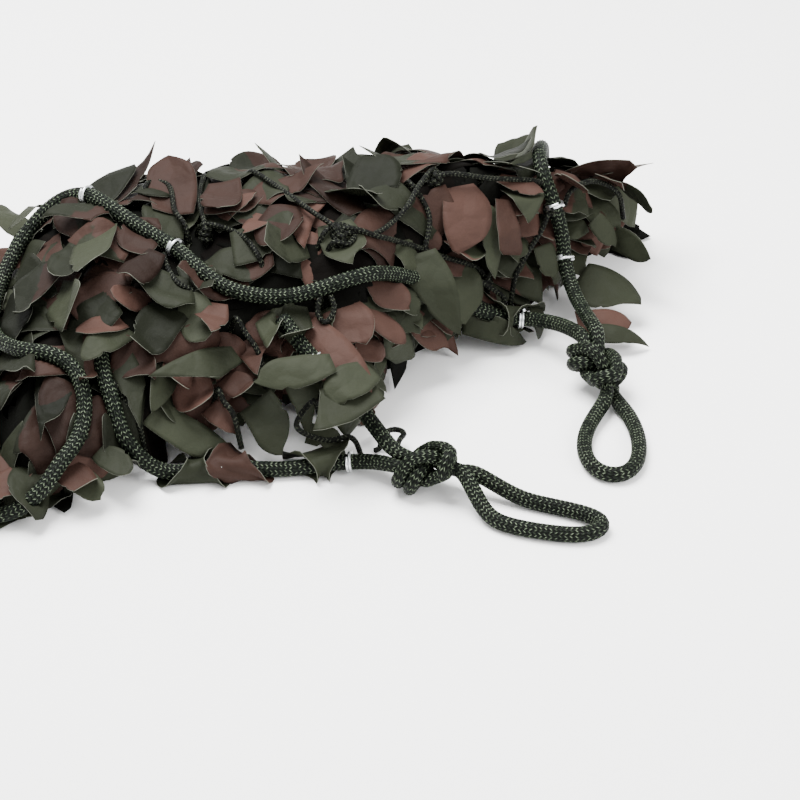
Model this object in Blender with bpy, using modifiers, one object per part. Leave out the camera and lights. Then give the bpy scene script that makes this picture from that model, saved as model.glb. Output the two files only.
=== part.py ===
"""Camouflage net, bunched into a heap on a floor.

Leaf-cut cloth (the garnish) is clipped to a knotted cord net with steel rings. A braided rope
edges the net, and at two corners it is doubled, tied in an overhand knot and left as a loop.

Lengths are in millimetres, and world_mesh makes them metres. +Z is up, the floor is Z = 0, and
the origin is on the floor at the middle of the whole part.
"""

import math

import bmesh
import bpy
import numpy as np
from mathutils import Matrix, Vector

MM = 0.001
ORIGIN = np.array([-28.0, 90.5, 0.0])  # where the tables' zero is measured from

# Driving dimensions
CLOTH_THICK = 2.0  # garnish sheet, with its coating and its small crumples
LEAF_THICK = 1.6
ROPE_THICK = 7.7
ROPE_SIDES = 2  # bevel resolution, which gives 8 sides
CORD_THICK = 2.8  # netting cord
RING_WIRE = 1.5
RING_SEGMENTS = 12
GAP = 0.35  # left between pieces that touch
BUTT_GAP = 0.5  # left between two lengths of one rope
OFF_FLOOR = 0.03  # under a rope that lies on the floor
MERGED = 0.01  # distance between points that count as one
FLAT_WITHIN = 3.0  # degrees between faces that count as one

# The heap, as sections across it from left to right.
SECTION_COLUMNS = ("x", "front", "back", "crest", "top")
SECTIONS = (
    (-188, -6, 160, 84, 44),
    (-160, -42, 190, 104, 70),
    (-130, -24, 204, 114, 79),
    (-100, -4, 212, 118, 82),
    (-60, -2, 218, 122, 84),
    (-20, 2, 222, 124, 86),
    (8, 14, 224, 126, 87),
    (24, 60, 224, 132, 87),
    (44, 98, 224, 142, 86),
    (80, 116, 224, 154, 82),
    (108, 138, 222, 168, 74),
    (134, 160, 218, 180, 60),
    (156, 182, 210, 194, 34),
)
EDGE_HEIGHT = 19.0  # of the top layer, where it folds over the layers below
MIDDLE_HEIGHT = 12.0  # of the middle layer at its folds
MIDDLE_RISE = 0.4  # how far the middle layer follows the top one
FRONT_FOLD = 7.0  # length of the turn between two layers, at the front
BACK_FOLD = 6.0
HEM_REACH = 8.0  # of the top layer past the back fold
ROUNDNESS = 0.85  # power of the slope's sine: lower is fuller
RIPPLE = 3.2  # depth of the top layer's waves
LONG_WAVE = (17.0, 29.0)  # their lengths along X and Y, over two pi
SLANT_WAVE = (31.0, 19.0)
SLANT_DEPTH = 0.7  # of the second wave, of the first one's depth
COLUMNS = 13
LAYER_POINTS = (("bottom", 4), ("middle", 4), ("top", 11))
HOLE_EVERY = (3, 2)  # one slit gap in so many columns and rows
HOLE_CLEAR = 14.0  # from a gap's middle to the nearest leaf's root

# Leaves whose place matters to the heap's look: x, y, heading, length, width, rise. Heading and
# rise are in degrees: heading is measured from +X towards +Y, and rise is the tip seen from
# the root.
LEAVES = (
    (-120, 136, -95, 34, 21, -5),
    (-88, 138, -80, 46, 15, 0),
    (-79, 113, -70, 56, 24, 0),
    (-76, 104, 35, 29, 16, 35),
    (-158, 100, -80, 42, 13, -5),
    (-151, 96, -45, 62, 12, -5),
    (-134, 94, -85, 46, 22, 0),
    (-110, 68, 140, 27, 15, 20),
    (-155, 65, -55, 48, 24, 10),
    (-102, 49, -165, 24, 13, 25),
    (-115, 36, -135, 27, 11, 5),
    (-114, 34, -125, 35, 16, -5),
    (-102, 49, -75, 30, 10, -20),
    (-93, 69, -75, 48, 25, -10),
    (-38, 132, -60, 46, 21, 5),
    (-12, 124, -95, 46, 25, 10),
    (-10, 128, -45, 42, 16, 5),
    (-41, 111, -110, 33, 12, 0),
    (-25, 76, -155, 27, 20, 15),
    (-44, 71, -55, 27, 12, 0),
    (-26, 95, -75, 34, 11, -5),
    (18, 97, -25, 24, 20, -20),
    (28, 114, -35, 26, 14, -30),
    (51, 134, -65, 36, 22, -35),
    (73, 134, -110, 34, 11, -35),
    (77, 138, -85, 31, 12, -40),
    (51, 117, -25, 24, 15, -45),
    (74, 147, -15, 24, 11, -20),
    (111, 172, -85, 30, 15, -5),
    (130, 180, -60, 24, 15, 0),
    (143, 188, -70, 26, 14, 10),
    (127, 163, -25, 18, 10, -40),
    (99, 141, -55, 18, 12, -55),
    (118, 147, -35, 33, 22, -10),
    (138, 168, -35, 26, 12, 5),
    (55, 104, 10, 35, 13, -10),
    (94, 128, -80, 33, 11, -20),
    (-8, 52, 35, 62, 12, -15),
    (43, 105, -90, 32, 21, -50),
    (25, 79, 10, 31, 15, -60),
    (22, 72, -80, 24, 26, -50),
    (-8, 51, -60, 24, 19, -20),
    (-28, 42, -50, 44, 25, -20),
    (-47, 47, -55, 30, 16, 0),
    (-121, 27, -60, 45, 14, -25),
    (-101, 4, -25, 44, 14, -30),
    (-60, 31, -135, 34, 16, 5),
    (-82, 23, -80, 43, 20, -30),
    (-65, 20, -45, 22, 12, -10),
    (-72, 10, -45, 23, 11, -15),
    (-120, -9, -125, 31, 21, -10),
    (-138, -29, -50, 22, 13, -30),
    (-50, 11, -45, 29, 18, -25),
    (-33, 26, -45, 30, 18, -10),
    (-15, 14, -10, 29, 18, -25),
    (-24, 4, -5, 29, 9, -5),
)
MORE_LEAVES = 42  # scattered over the rest of the heap
MORE_LENGTH = (28.0, 44.0)
MORE_WIDTH = (13.0, 24.0)
MORE_APART = 13.0  # from one root to the next
NEAR_EDGE = 30.0  # roots nearer to the heap's edge than this point outwards
EDGE_SPREAD = 50.0  # and turn from that way by so many degrees at most
EDGE_RISE = (-30.0, 15.0)
TOP_RISE = (-10.0, 20.0)
LEAF_STATIONS = (0.0, 0.33, 0.74, 1.0)
LEAF_HALF_WIDTHS = (0.5, 1.0, 0.84, 0.12)
LEAF_BOW = 0.16  # height of a leaf's arch, of its length
LEAF_SWEEP = 0.22  # how far its tip swings to one side, of its length
LEAF_ROLL = 28.0  # how far its tip turns about its length at most, in degrees
LEAF_OFF_FLOOR = 0.3
OVER_HEAP = 150.0  # a height above all of the heap

# The rope's routes to its corner knots: each point is (x, y, z) on its centre line. The top
# and the back one are the two halves of the net's border, and they start at one place.
TOP_ROPE = (
    (-203, 6, 4), (-202, -8, 4), (-194, -32, 4), (-180, -49, 4), (-164, -54, 8), (-150, -48, 17),
    (-142, -36, 25), (-135, -25, 29), (-132, -15, 35), (-132, -5, 42), (-135, 4, 49),
    (-141, 11, 53), (-149, 14, 56), (-159, 16, 56), (-170, 24, 53), (-181, 40, 50),
    (-185, 62, 50), (-183, 84, 55), (-176, 104, 65), (-163, 118, 77), (-150, 122, 85),
    (-138, 117, 88), (-127, 106, 87), (-105, 89, 81), (-92, 80, 78), (-76, 62, 73),
    (-64, 54, 69), (-46, 50, 67), (-28, 50, 68), (-8, 56, 72), (6, 64, 72), (18, 76, 65),
    (27, 86, 57), (38, 96, 48), (48, 104, 37), (60, 107, 27), (75, 109, 19), (90, 114, 15),
    (106, 102, 19),
)
BACK_ROPE = (
    (-203, 6, 4), (-204, 20, 4), (-206, 60, 6.5), (-200, 120, 4), (-178, 182, 4), (-130, 222, 4),
    (-70, 236, 6.5), (0, 243, 4), (60, 245, 4), (88, 243, 7), (98, 238, 20), (101, 224, 46),
    (100, 204, 68), (98, 184, 81), (96, 166, 84), (98, 156, 79), (102, 151, 70), (106, 149, 58),
    (109, 146, 46), (110, 140, 35), (113, 130, 27), (117, 114, 24),
)
FRONT_ROPE = (
    (-126, 20, 53), (-124, 8, 47), (-119, -1, 38), (-116, -9, 29), (-111, -14, 21),
    (-105, -15, 13), (-98, -16, 7), (-88, -16, 5), (-77, -15, 6), (-66, -14, 6.5),
    (-54, -13, 6), (-34, -11, 4), (-14, -9, 6), (-3, -8, 6.5), (8, -10, 8),
)
SHORT_ROPE = (
    (-37, 42, 59), (-33, 37, 56), (-28, 30, 52), (-22, 25, 47), (-13, 20, 41), (-4, 15, 33),
    (3, 11, 25),
)
# Each corner: the knot's middle as x, y, then in degrees its heading, how far it dips towards
# the loop and its roll, and then the points of the loop.
KNOTS = {
    "front": (37, -21, -30, 0, 245, (
        (82, -37, 4), (100, -44, 4), (114, -50, 4), (121, -58, 4), (112, -66, 4),
        (96, -65, 4), (78, -60, 4), (65, -52, 4),
    )),
    "side": (126, 67, -87, 25, 225, (
        (139, 36, 4), (142, 14, 4), (139, -7, 4), (130, -17, 4), (119, -12, 4),
        (114, 4, 4), (117, 26, 4),
    )),
}
ROUTES = {
    "front": FRONT_ROPE,
    "short": SHORT_ROPE,
    "back": BACK_ROPE,
    "top": TOP_ROPE,
}
CORNERS = {"front": ("short", "front"), "side": ("back", "top")}
ROPE_SPACING = 12.0  # between a rope's points
FINE_SPACING = 1.0  # while a corner's line is worked out
KNOT_PAST = 10  # points of that line from the kept knot to the end of its node
LOOP_SPACING = 5.5
EASING = 60
# The overhand knot is worked out on two lines side by side, each with so many points.
KNOT_NODES = 90
KNOT_SIZE = 11.0  # scale of the loose knot that is then drawn tight
KNOT_BESIDE = 0.62  # half the distance between the two lines at first, of the rope's thickness
KNOT_REACH = 50.0  # half the length of rope that the knot is worked out on
KNOT_KEEP = 20.0  # half the length of it that is kept
KNOT_ROUNDS = 640
KNOT_DRAWING = 0.5  # how far a point moves to the middle of its neighbours, in one round
KNOT_SETTLING = 0.06  # the same in the last tenth of the rounds
KNOT_HOLD = 0.15  # how far the lines close the gap between them, in one round
KNOT_LOOSE = 4  # how many points the lines may slip along each other
KNOT_PUSH = 1.3  # how far two stretches that are too close are pushed apart, of what they need
KNOT_PUSHES = 3  # in each round
KNOT_BEND = 1.5  # stretches nearer along one line than this, in distances, may lie close
KNOT_EVENED = 5  # rounds between two times that the points are spaced evenly
KNOT_CLEAR = 1.05  # distance kept between two stretches, of the squeezed thickness
SQUEEZE = 0.84  # the rope's thickness inside a knot, of its free thickness
SQUEEZED_WITHIN = (14.0, 23.0)  # distances from the knot's middle at which that begins and ends
STEADY_WITHIN = 16.0  # distance from it at which the line is left as it was drawn tight

# Loose stretches of netting cord that run over the leaves, from knot to knot.
LOOSE_CORDS = (
    ((-81, 146, 84), (-82, 120, 84), (-78, 97, 82)),
    ((-111, 125, 87), (-107, 134, 87), (-98, 128, 87), (-94, 108, 84), (-88, 98, 80)),
    ((-56, 135, 92), (-43, 119, 93), (-24, 94, 92), (-10, 80, 88)),
    ((40, 136, 93), (32, 122, 91), (24, 106, 85), (10, 88, 82), (-6, 80, 86)),
    ((-6, 82, 88), (12, 84, 82), (27, 97, 70), (43, 108, 57), (64, 116, 44)),
    ((44, 132, 92), (69, 139, 86), (98, 152, 76)),
    ((113, 158, 68), (126, 169, 68), (140, 178, 56)),
    ((-21, 8, 32), (-29, -3, 24), (-15, -3, 16), (-2, 2, 14)),
)

# Steel rings that clip the net to the rope, each at the rope's point nearest to (x, y).
RINGS = (
    ("border_rope_top", -140, 118),
    ("border_rope_top", -92, 80),
    ("border_rope_top", 86, 115),
    ("border_rope_back", 104, 150),
    ("border_rope_back", 111, 141),
    ("border_rope_front", -66, -14),
    ("border_rope_front", -3, -8),
    ("border_rope_short", -20, 24),
    ("border_rope_back", -206, 60),
    ("border_rope_back", -70, 236),
)

# sRGB colour, metallic value and roughness
MATERIALS = {
    "olive_cloth": ("#5e6156", 0.0, 0.75),
    "braided_rope": ("#3f4a3c", 0.0, 0.6),
    "netting_cord": ("#2c2d26", 0.0, 0.7),
    "galvanised_steel": ("#b9bcbb", 1.0, 0.3),
}


# ---------------------------------------------------------------- scene and materials

def clear_scene():
    for obj in list(bpy.data.objects):
        bpy.data.objects.remove(obj, do_unlink=True)


def linear(value):
    return value / 12.92 if value <= 0.04045 else ((value + 0.055) / 1.055) ** 2.4


def make_material(name):
    code, metallic, roughness = MATERIALS[name]
    material = bpy.data.materials.new(name)
    material.use_nodes = True
    shader = material.node_tree.nodes["Principled BSDF"]
    rgb = [linear(int(code[k:k + 2], 16) / 255) for k in (1, 3, 5)]
    shader.inputs["Base Color"].default_value = (*rgb, 1)
    shader.inputs["Metallic"].default_value = metallic
    shader.inputs["Roughness"].default_value = roughness
    return material


def make_collection(name):
    collection = bpy.data.collections.new(name)
    bpy.context.scene.collection.children.link(collection)
    return collection


def remove_all(*collections):
    for collection in collections:
        for obj in list(collection.objects):
            bpy.data.objects.remove(obj, do_unlink=True)
        bpy.data.collections.remove(collection)


def as_guide(obj):
    obj.hide_render = True
    obj.display_type = "WIRE"


def world(points):
    return (np.asarray(points, float) - ORIGIN) * MM


# ---------------------------------------------------------------- curves

def resample(points, count):
    """The same line with its points evenly spaced."""
    steps = np.linalg.norm(np.diff(points, axis=0), axis=1)
    along = np.concatenate([[0], np.cumsum(steps)])
    places = np.linspace(0, along[-1], count)
    return np.stack([np.interp(places, along, points[:, k]) for k in range(3)], axis=1)


def true_ends(line, fine):
    """The line with a point added near each end, so that its ends face as the fine line does."""
    return np.vstack([line[0], fine[2], line[1:-1], fine[-3], line[-1]])


def length_of(points):
    return np.linalg.norm(np.diff(points, axis=0), axis=1).sum()


def smooth_line(points, spacing):
    """A Catmull-Rom curve through the points, evenly spaced."""
    points = np.asarray(points, float)
    padded = np.vstack([2 * points[0] - points[1], points, 2 * points[-1] - points[-2]])
    line = []
    for a, b, c, d in zip(padded, padded[1:], padded[2:], padded[3:]):
        for t in np.linspace(0, 1, 12, endpoint=False):
            line.append(0.5 * (2 * b + (c - a) * t + (2 * a - 5 * b + 4 * c - d) * t ** 2
                               + (3 * b - a - 3 * c + d) * t ** 3))
    line = np.array([*line, points[-1]])
    line[:, 2] = np.maximum(line[:, 2], ROPE_THICK / 2 + OFF_FLOOR)
    return resample(line, max(3, round(length_of(line) / spacing) + 1))


def make_tube(name, line, thickness, resolution, collection, material=None, swell=None, turn=0):
    """A round solid along a line, as a mesh with closed ends.

    Swell scales its thickness point by point, and turn rolls its sides about the line.
    """
    curve = bpy.data.curves.new(name, "CURVE")
    curve.dimensions = "3D"
    curve.bevel_depth = thickness / 2 * MM
    curve.bevel_resolution = resolution
    curve.use_fill_caps = True
    spline = curve.splines.new("POLY")
    spline.points.add(len(line) - 1)
    for point, place in zip(spline.points, world(line)):
        point.co = (*place, 1)
    if swell is not None:
        spline.points.foreach_set("radius", swell)
    spline.points.foreach_set("tilt", [turn] * len(line))
    guide = bpy.data.objects.new(name + "_line", curve)
    collection.objects.link(guide)
    bpy.context.view_layer.update()
    graph = bpy.context.evaluated_depsgraph_get()
    mesh = bpy.data.meshes.new_from_object(guide.evaluated_get(graph))
    bpy.data.objects.remove(guide)
    solid = bmesh.new()
    solid.from_mesh(mesh)
    bmesh.ops.remove_doubles(solid, verts=solid.verts, dist=MERGED * MM)
    bmesh.ops.recalc_face_normals(solid, faces=solid.faces)
    solid.to_mesh(mesh)
    solid.free()
    mesh.materials.clear()
    if material:
        mesh.materials.append(material)
    mesh.shade_smooth()
    obj = bpy.data.objects.new(name, mesh)
    collection.objects.link(obj)
    return obj


# ---------------------------------------------------------------- the overhand knot

def knot_start():
    """Two side-by-side lines through a loose overhand knot along X."""
    t = np.linspace(-2.05, 2.05, 200)
    open_knot = KNOT_SIZE * np.stack([
        t ** 3 - 3 * t,
        0.9 * (t ** 4 - 4 * t ** 2 + 1.5),
        0.3 * (t ** 5 - 10 * t),
    ], axis=1)
    reach = KNOT_REACH + 5
    line = resample(np.vstack([[-reach, 0, 0], open_knot, [reach, 0, 0]]), KNOT_NODES)
    tangents = np.gradient(line, axis=0)
    tangents /= np.linalg.norm(tangents, axis=1, keepdims=True)
    side = np.array([0, 0.25, 1.0])
    sides = []
    for tangent in tangents:
        side = side - tangent * (side @ tangent)
        side /= np.linalg.norm(side)
        sides.append(side)
    beside = ROPE_THICK * KNOT_BESIDE
    offset = np.array(sides) * beside
    strands = np.stack([line + offset, line - offset])
    for strand, y in zip(strands, (beside, -beside)):
        strand[0] = (-KNOT_REACH, y, 0)
        strand[-1] = (KNOT_REACH, y, 0)
    return strands


def push_apart(points, first, second, distance):
    """Moves each pair of points that is too close to the given distance, half each."""
    between = points[second] - points[first]
    apart = np.linalg.norm(between, axis=1)
    close = apart < distance
    push = 0.5 * between[close] / apart[close, None] * (distance - apart[close, None])
    move = np.zeros_like(points)
    count = np.zeros((len(points), 1))
    for ends, direction in ((first[close], -1), (second[close], 1)):
        np.add.at(move, ends, push * direction)
        np.add.at(count, ends, 1)
    return points + KNOT_PUSH * move / np.maximum(count, 1)


def held_together(strands, distance):
    """Each line drawn to the nearest stretch of the other one, so that they lie side by side."""
    shifts = np.arange(-KNOT_LOOSE, KNOT_LOOSE + 1)
    beside = np.clip(np.arange(KNOT_NODES) + shifts[:, None], 0, KNOT_NODES - 1)
    for strand, other in ((0, 1), (1, 0)):
        between = strands[other][beside] - strands[strand]
        apart = np.linalg.norm(between, axis=2)
        nearest = apart.argmin(axis=0), np.arange(KNOT_NODES)
        gap = np.maximum(apart[nearest] - distance, 0) / apart[nearest]
        strands[strand, 1:-1] += KNOT_HOLD * (between[nearest] * gap[:, None])[1:-1]
    return strands


def tied_knot():
    """The knot drawn tight: both lines shorten while no two stretches come too close.

    It is left-handed, and the middle of its turns is at X = 0.
    """
    strands = knot_start()
    ends = strands[:, [0, -1]].copy()
    index = np.arange(2 * KNOT_NODES)
    strand_of = index // KNOT_NODES
    place = index % KNOT_NODES
    inner = index[(place > 0) & (place < KNOT_NODES - 1)]
    one, other = np.triu_indices(2 * KNOT_NODES, 1)
    distance = ROPE_THICK * SQUEEZE * KNOT_CLEAR
    for step in range(KNOT_ROUNDS):
        spacing = length_of(strands[0]) / (KNOT_NODES - 1)
        apart = np.abs(place[one] - place[other]) * spacing > KNOT_BEND * distance
        pairs = (strand_of[one] != strand_of[other]) | apart
        points = strands.reshape(-1, 3).copy()
        drawing = KNOT_DRAWING if step < 0.9 * KNOT_ROUNDS else KNOT_SETTLING
        middle = (points[inner - 1] + points[inner + 1]) / 2
        points[inner] += drawing * (middle - points[inner])
        points = held_together(points.reshape(strands.shape), distance).reshape(-1, 3)
        for _ in range(KNOT_PUSHES):
            points = push_apart(points, one[pairs], other[pairs], distance)
        strands = points.reshape(strands.shape)
        strands[:, [0, -1]] = ends
        if step % KNOT_EVENED == 0:
            strands = np.stack([resample(strand, KNOT_NODES) for strand in strands])
    across = strands[..., 1:]
    outside = np.linalg.norm(across - np.median(across, axis=(0, 1)), axis=2) > ROPE_THICK
    strands[..., 0] -= strands[outside, 0].mean()
    return strands * (1, -1, 1)


def placed_knot(strands, x, y, heading, dip, roll):
    """The kept middle of both strands, turned to its heading and set down on the floor."""
    turn = Matrix.Rotation(math.radians(heading), 3, "Z")
    down = Matrix.Rotation(math.radians(dip), 3, "Y")
    tip = Matrix.Rotation(math.radians(roll), 3, "X")
    matrix = np.array(turn @ down @ tip)
    kept = []
    for strand in strands:
        inside = np.flatnonzero(np.abs(strand[:, 0]) <= KNOT_KEEP)
        kept.append(strand[inside[0]:inside[-1] + 1] @ matrix.T)
    lowest = min(strand[:, 2].min() for strand in kept)
    lift = ROPE_THICK / 2 * SQUEEZE - lowest + 2 * OFF_FLOOR
    return [strand + (x, y, lift) for strand in kept]


# ---------------------------------------------------------------- the heap

def section_at(x):
    table = np.array(SECTIONS, float)
    return [np.interp(x, table[:, 0], table[:, k]) for k in range(1, len(SECTION_COLUMNS))]


def height(x, y):
    """The top layer over the floor."""
    front, back, crest, top = section_at(x)
    if y <= crest:
        share = (y - front) / (crest - front)
    else:
        share = (back - y) / (back - crest)
    share = min(1, max(0, share))
    rise = (top - EDGE_HEIGHT) * math.sin(share * math.pi / 2) ** ROUNDNESS
    ripple = (math.sin(x / LONG_WAVE[0] + y / LONG_WAVE[1])
              + SLANT_DEPTH * math.sin(x / SLANT_WAVE[0] - y / SLANT_WAVE[1]))
    return EDGE_HEIGHT + rise + RIPPLE * ripple * min(1, share * 3)


def layer_lines(x):
    """The folded sheet's line at one place across the heap, from its lowest layer up."""
    front, back, _, _ = section_at(x)
    line = []
    for layer, count in LAYER_POINTS:
        if layer == "bottom":
            for y in np.linspace(front + FRONT_FOLD, back - BACK_FOLD, count):
                line.append((x, y, CLOTH_THICK / 2))
            line.append((x, back - 1, 4))
            line.append((x, back, 9))
        elif layer == "middle":
            for y in np.linspace(back - BACK_FOLD, front + FRONT_FOLD, count):
                above = max(0, height(x, y) - EDGE_HEIGHT)
                line.append((x, y, MIDDLE_HEIGHT + MIDDLE_RISE * above))
            line.append((x, front + 1, 13))
            line.append((x, front, 17))
        else:
            for y in np.linspace(front + 5, back, count):
                line.append((x, y, height(x, y)))
            line.append((x, back + HEM_REACH * 0.7, EDGE_HEIGHT / 2))
            line.append((x, back + HEM_REACH, 3))
    return line


def heap_grid():
    first, last = SECTIONS[0][0], SECTIONS[-1][0]
    return np.array([layer_lines(x) for x in np.linspace(first, last, COLUMNS + 1)])


def grid_mesh(name, grid):
    """A four-sided mesh over a grid of points."""
    rows, columns = grid.shape[:2]
    sheet = bmesh.new()
    bmesh.ops.create_grid(sheet, x_segments=columns - 1, y_segments=rows - 1, size=1)
    sheet.verts.ensure_lookup_table()
    for vert, place in zip(sheet.verts, world(grid.reshape(-1, 3))):
        vert.co = place
    mesh = bpy.data.meshes.new(name)
    sheet.to_mesh(mesh)
    sheet.free()
    return mesh


def thicken(obj, thickness):
    """Solidify, with the sheet in the middle of the thickness."""
    modifier = obj.modifiers.new("thickness", "SOLIDIFY")
    modifier.thickness = thickness * MM
    modifier.offset = 0


def make_sheet(roots, guides):
    """The folded cloth, with the gaps that its slits leave where no leaf is rooted."""
    mesh = grid_mesh("sheet", heap_grid())
    sheet = bmesh.new()
    sheet.from_mesh(mesh)
    sheet.faces.ensure_lookup_table()
    rows = len(sheet.faces) // COLUMNS
    every_column, every_row = HOLE_EVERY
    places = world(roots)
    gaps = []
    for index, face in enumerate(sheet.faces):
        column, row = divmod(index, rows)
        inside = 0 < column < COLUMNS - 1 and LAYER_POINTS[0][1] + 2 < row < rows - 4
        if not inside or column % every_column != 1 or row % every_row:
            continue
        middle = np.array(face.calc_center_median())
        if np.linalg.norm(places - middle, axis=1).min() > HOLE_CLEAR * MM:
            gaps.append(face)
    bmesh.ops.delete(sheet, geom=gaps, context="FACES")
    sheet.to_mesh(mesh)
    sheet.free()
    obj = bpy.data.objects.new("sheet", mesh)
    guides.objects.link(obj)
    thicken(obj, CLOTH_THICK)
    return obj


# ---------------------------------------------------------------- leaves

def more_leaves():
    """Leaves for the rest of the heap, pointing outwards and down near its edges."""
    chance = np.random.default_rng(7)
    first, last = SECTIONS[0][0], SECTIONS[-1][0]
    table = np.array(LEAVES, float)
    taken = [tuple(row) for row in table[:, :2]]
    rows = []
    while len(rows) < MORE_LEAVES:
        x = chance.uniform(first + 4, last - 4)
        front, back, crest, _ = section_at(x)
        y = chance.uniform(front + 6, back + 2)
        nearest = min(math.dist((x, y), other) for other in taken)
        if nearest < MORE_APART:
            continue
        taken.append((x, y))
        outwards = math.degrees(math.atan2(y - crest, x + 20))
        near_edge = min(y - front, back - y, x - first, last - x) < NEAR_EDGE
        spread = EDGE_SPREAD if near_edge else 180
        rows.append((
            x,
            y,
            outwards + chance.uniform(-spread, spread),
            chance.uniform(*MORE_LENGTH),
            chance.uniform(*MORE_WIDTH),
            chance.uniform(*(EDGE_RISE if near_edge else TOP_RISE)),
        ))
    return rows


def unit(vector):
    return vector / np.linalg.norm(vector)


def leaf_grid(row, root, normal, roll, sweep):
    """A leaf's points, a pair at each station. It leaves the cloth along it and then turns."""
    _, _, heading, length, width, rise = row
    turn = math.radians(heading)
    tilt = math.radians(rise)
    ahead = np.array([math.cos(turn) * math.cos(tilt), math.sin(turn) * math.cos(tilt),
                      math.sin(tilt)])
    root_side = unit(np.cross(normal, ahead))
    level = np.array([-math.sin(turn), math.cos(turn), 0])
    up = np.cross(ahead, level)
    tip_side = level * math.cos(roll) + up * math.sin(roll)
    grid = np.empty((len(LEAF_STATIONS), 2, 3))
    for k, (along, half) in enumerate(zip(LEAF_STATIONS, LEAF_HALF_WIDTHS)):
        side = unit(root_side * (1 - along) + tip_side * along)
        arch = LEAF_BOW * length * math.sin(math.pi * along)
        middle = root + ahead * length * along + up * arch
        middle = middle + side * sweep * length * along ** 2
        grid[k, 0] = middle - side * half * width / 2
        grid[k, 1] = middle + side * half * width / 2
    grid[:, :, 2] = np.maximum(grid[:, :, 2], LEAF_THICK / 2 + LEAF_OFF_FLOOR)
    return grid


def make_leaves(rows, sheet, collection):
    """Each leaf rooted in the cloth's thickness, under its place in plan."""
    chance = np.random.default_rng(11)
    bpy.context.view_layer.update()
    above = Vector((0, 0, 1))
    for number, row in enumerate(rows):
        roll = math.radians(chance.uniform(-LEAF_ROLL, LEAF_ROLL))
        sweep = LEAF_SWEEP * chance.uniform(-1, 1)
        start = Vector(world((row[0], row[1], OVER_HEAP)))
        found, place, normal, _ = sheet.ray_cast(start, -above)
        if not found:
            continue
        if normal.z < 0:
            normal = -normal
        root = np.array(place) / MM + ORIGIN - np.array(normal) * CLOTH_THICK * 0.5
        name = f"leaf_{number}"
        mesh = grid_mesh(name, leaf_grid(row, root, np.array(normal), roll, sweep))
        obj = bpy.data.objects.new(name, mesh)
        collection.objects.link(obj)
        thicken(obj, LEAF_THICK)
        as_guide(obj)


# ---------------------------------------------------------------- joining and cutting

def boolean(obj, operation, collection):
    modifier = obj.modifiers.new(operation.lower(), "BOOLEAN")
    modifier.operation = operation
    modifier.operand_type = "COLLECTION"
    modifier.collection = collection
    modifier.solver = "EXACT"


def bodies_of(solid):
    """The solid's faces in groups, the smallest first. Groups that only touch stay apart."""
    left = set(solid.faces)
    bodies = []
    while left:
        body = {left.pop()}
        front = list(body)
        while front:
            edges = {edge for face in front for edge in face.edges if len(edge.link_faces) == 2}
            near = {face for edge in edges for face in edge.link_faces} & left
            left -= near
            body |= near
            front = list(near)
        bodies.append(list(body))
    return sorted(bodies, key=len)


def finished(obj, name, material, collection, flat_within):
    """The object with its modifiers applied, and only its largest body kept."""
    bpy.context.view_layer.update()
    graph = bpy.context.evaluated_depsgraph_get()
    mesh = bpy.data.meshes.new_from_object(obj.evaluated_get(graph))
    mesh.name = name
    solid = bmesh.new()
    solid.from_mesh(mesh)
    if flat_within:
        bmesh.ops.dissolve_limit(solid, angle_limit=math.radians(flat_within),
                                 verts=solid.verts, edges=solid.edges)
    bmesh.ops.triangulate(solid, faces=solid.faces)
    scraps = [face for body in bodies_of(solid)[:-1] for face in body]
    bmesh.ops.delete(solid, geom=scraps, context="FACES")
    solid.to_mesh(mesh)
    solid.free()
    mesh.materials.clear()
    mesh.materials.append(material)
    collection.objects.link(bpy.data.objects.new(name, mesh))
    bpy.data.objects.remove(obj, do_unlink=True)


# ---------------------------------------------------------------- netting

NET_EVERY = 3  # columns and rows of the heap's grid between two knots
NET_DROP = 4.4  # of the cords under the cloth
KNOT_STEP = 0.7  # between two cords where they cross in a knot
CORD_SPACING = 16.0  # between a loose cord's points
CORD_PAST = (0.6, 0.5, 0.4)  # how far a loose cord's end runs past the knot that holds it
CORD_TURN = 0.37  # radians by which each cord's sides are rolled from the last one's


def net_grid():
    """The top layer's grid, lowered to the cords that carry it."""
    grid = heap_grid()
    along = np.gradient(grid, axis=1)
    across = np.gradient(grid, axis=0)
    normals = np.cross(across, along)
    normals /= np.linalg.norm(normals, axis=2, keepdims=True)
    top_count = LAYER_POINTS[2][1]
    return (grid - normals * NET_DROP)[:, -top_count - 1:-3]


def cord_lines():
    """The netting's cords: across the heap, along it, and the loose ones, which end at knots."""
    grid = net_grid()
    lines = [grid[:, row] for row in range(0, grid.shape[1], NET_EVERY)]
    for column in range(0, grid.shape[0], NET_EVERY):
        lines.append(grid[column] + (0, 0, KNOT_STEP))
    knots = grid[::NET_EVERY, ::NET_EVERY].reshape(-1, 3)
    for route in LOOSE_CORDS:
        route = np.array(route, float)
        first = knots[np.linalg.norm(knots - route[0], axis=1).argmin()]
        last = knots[np.linalg.norm(knots - route[-1], axis=1).argmin()]
        route[0], route[-1] = first - CORD_PAST, last + CORD_PAST
        lines.append(smooth_line(route, CORD_SPACING))
    return lines


def make_cords(name, thickness, collection):
    """Square cords, each rolled a little further so that no two faces coincide at a knot."""
    for number, line in enumerate(cord_lines()):
        tube = make_tube(f"{name}_{number}", line, thickness, 0, collection,
                         turn=CORD_TURN * number)
        as_guide(tube)


# ---------------------------------------------------------------- rings

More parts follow.
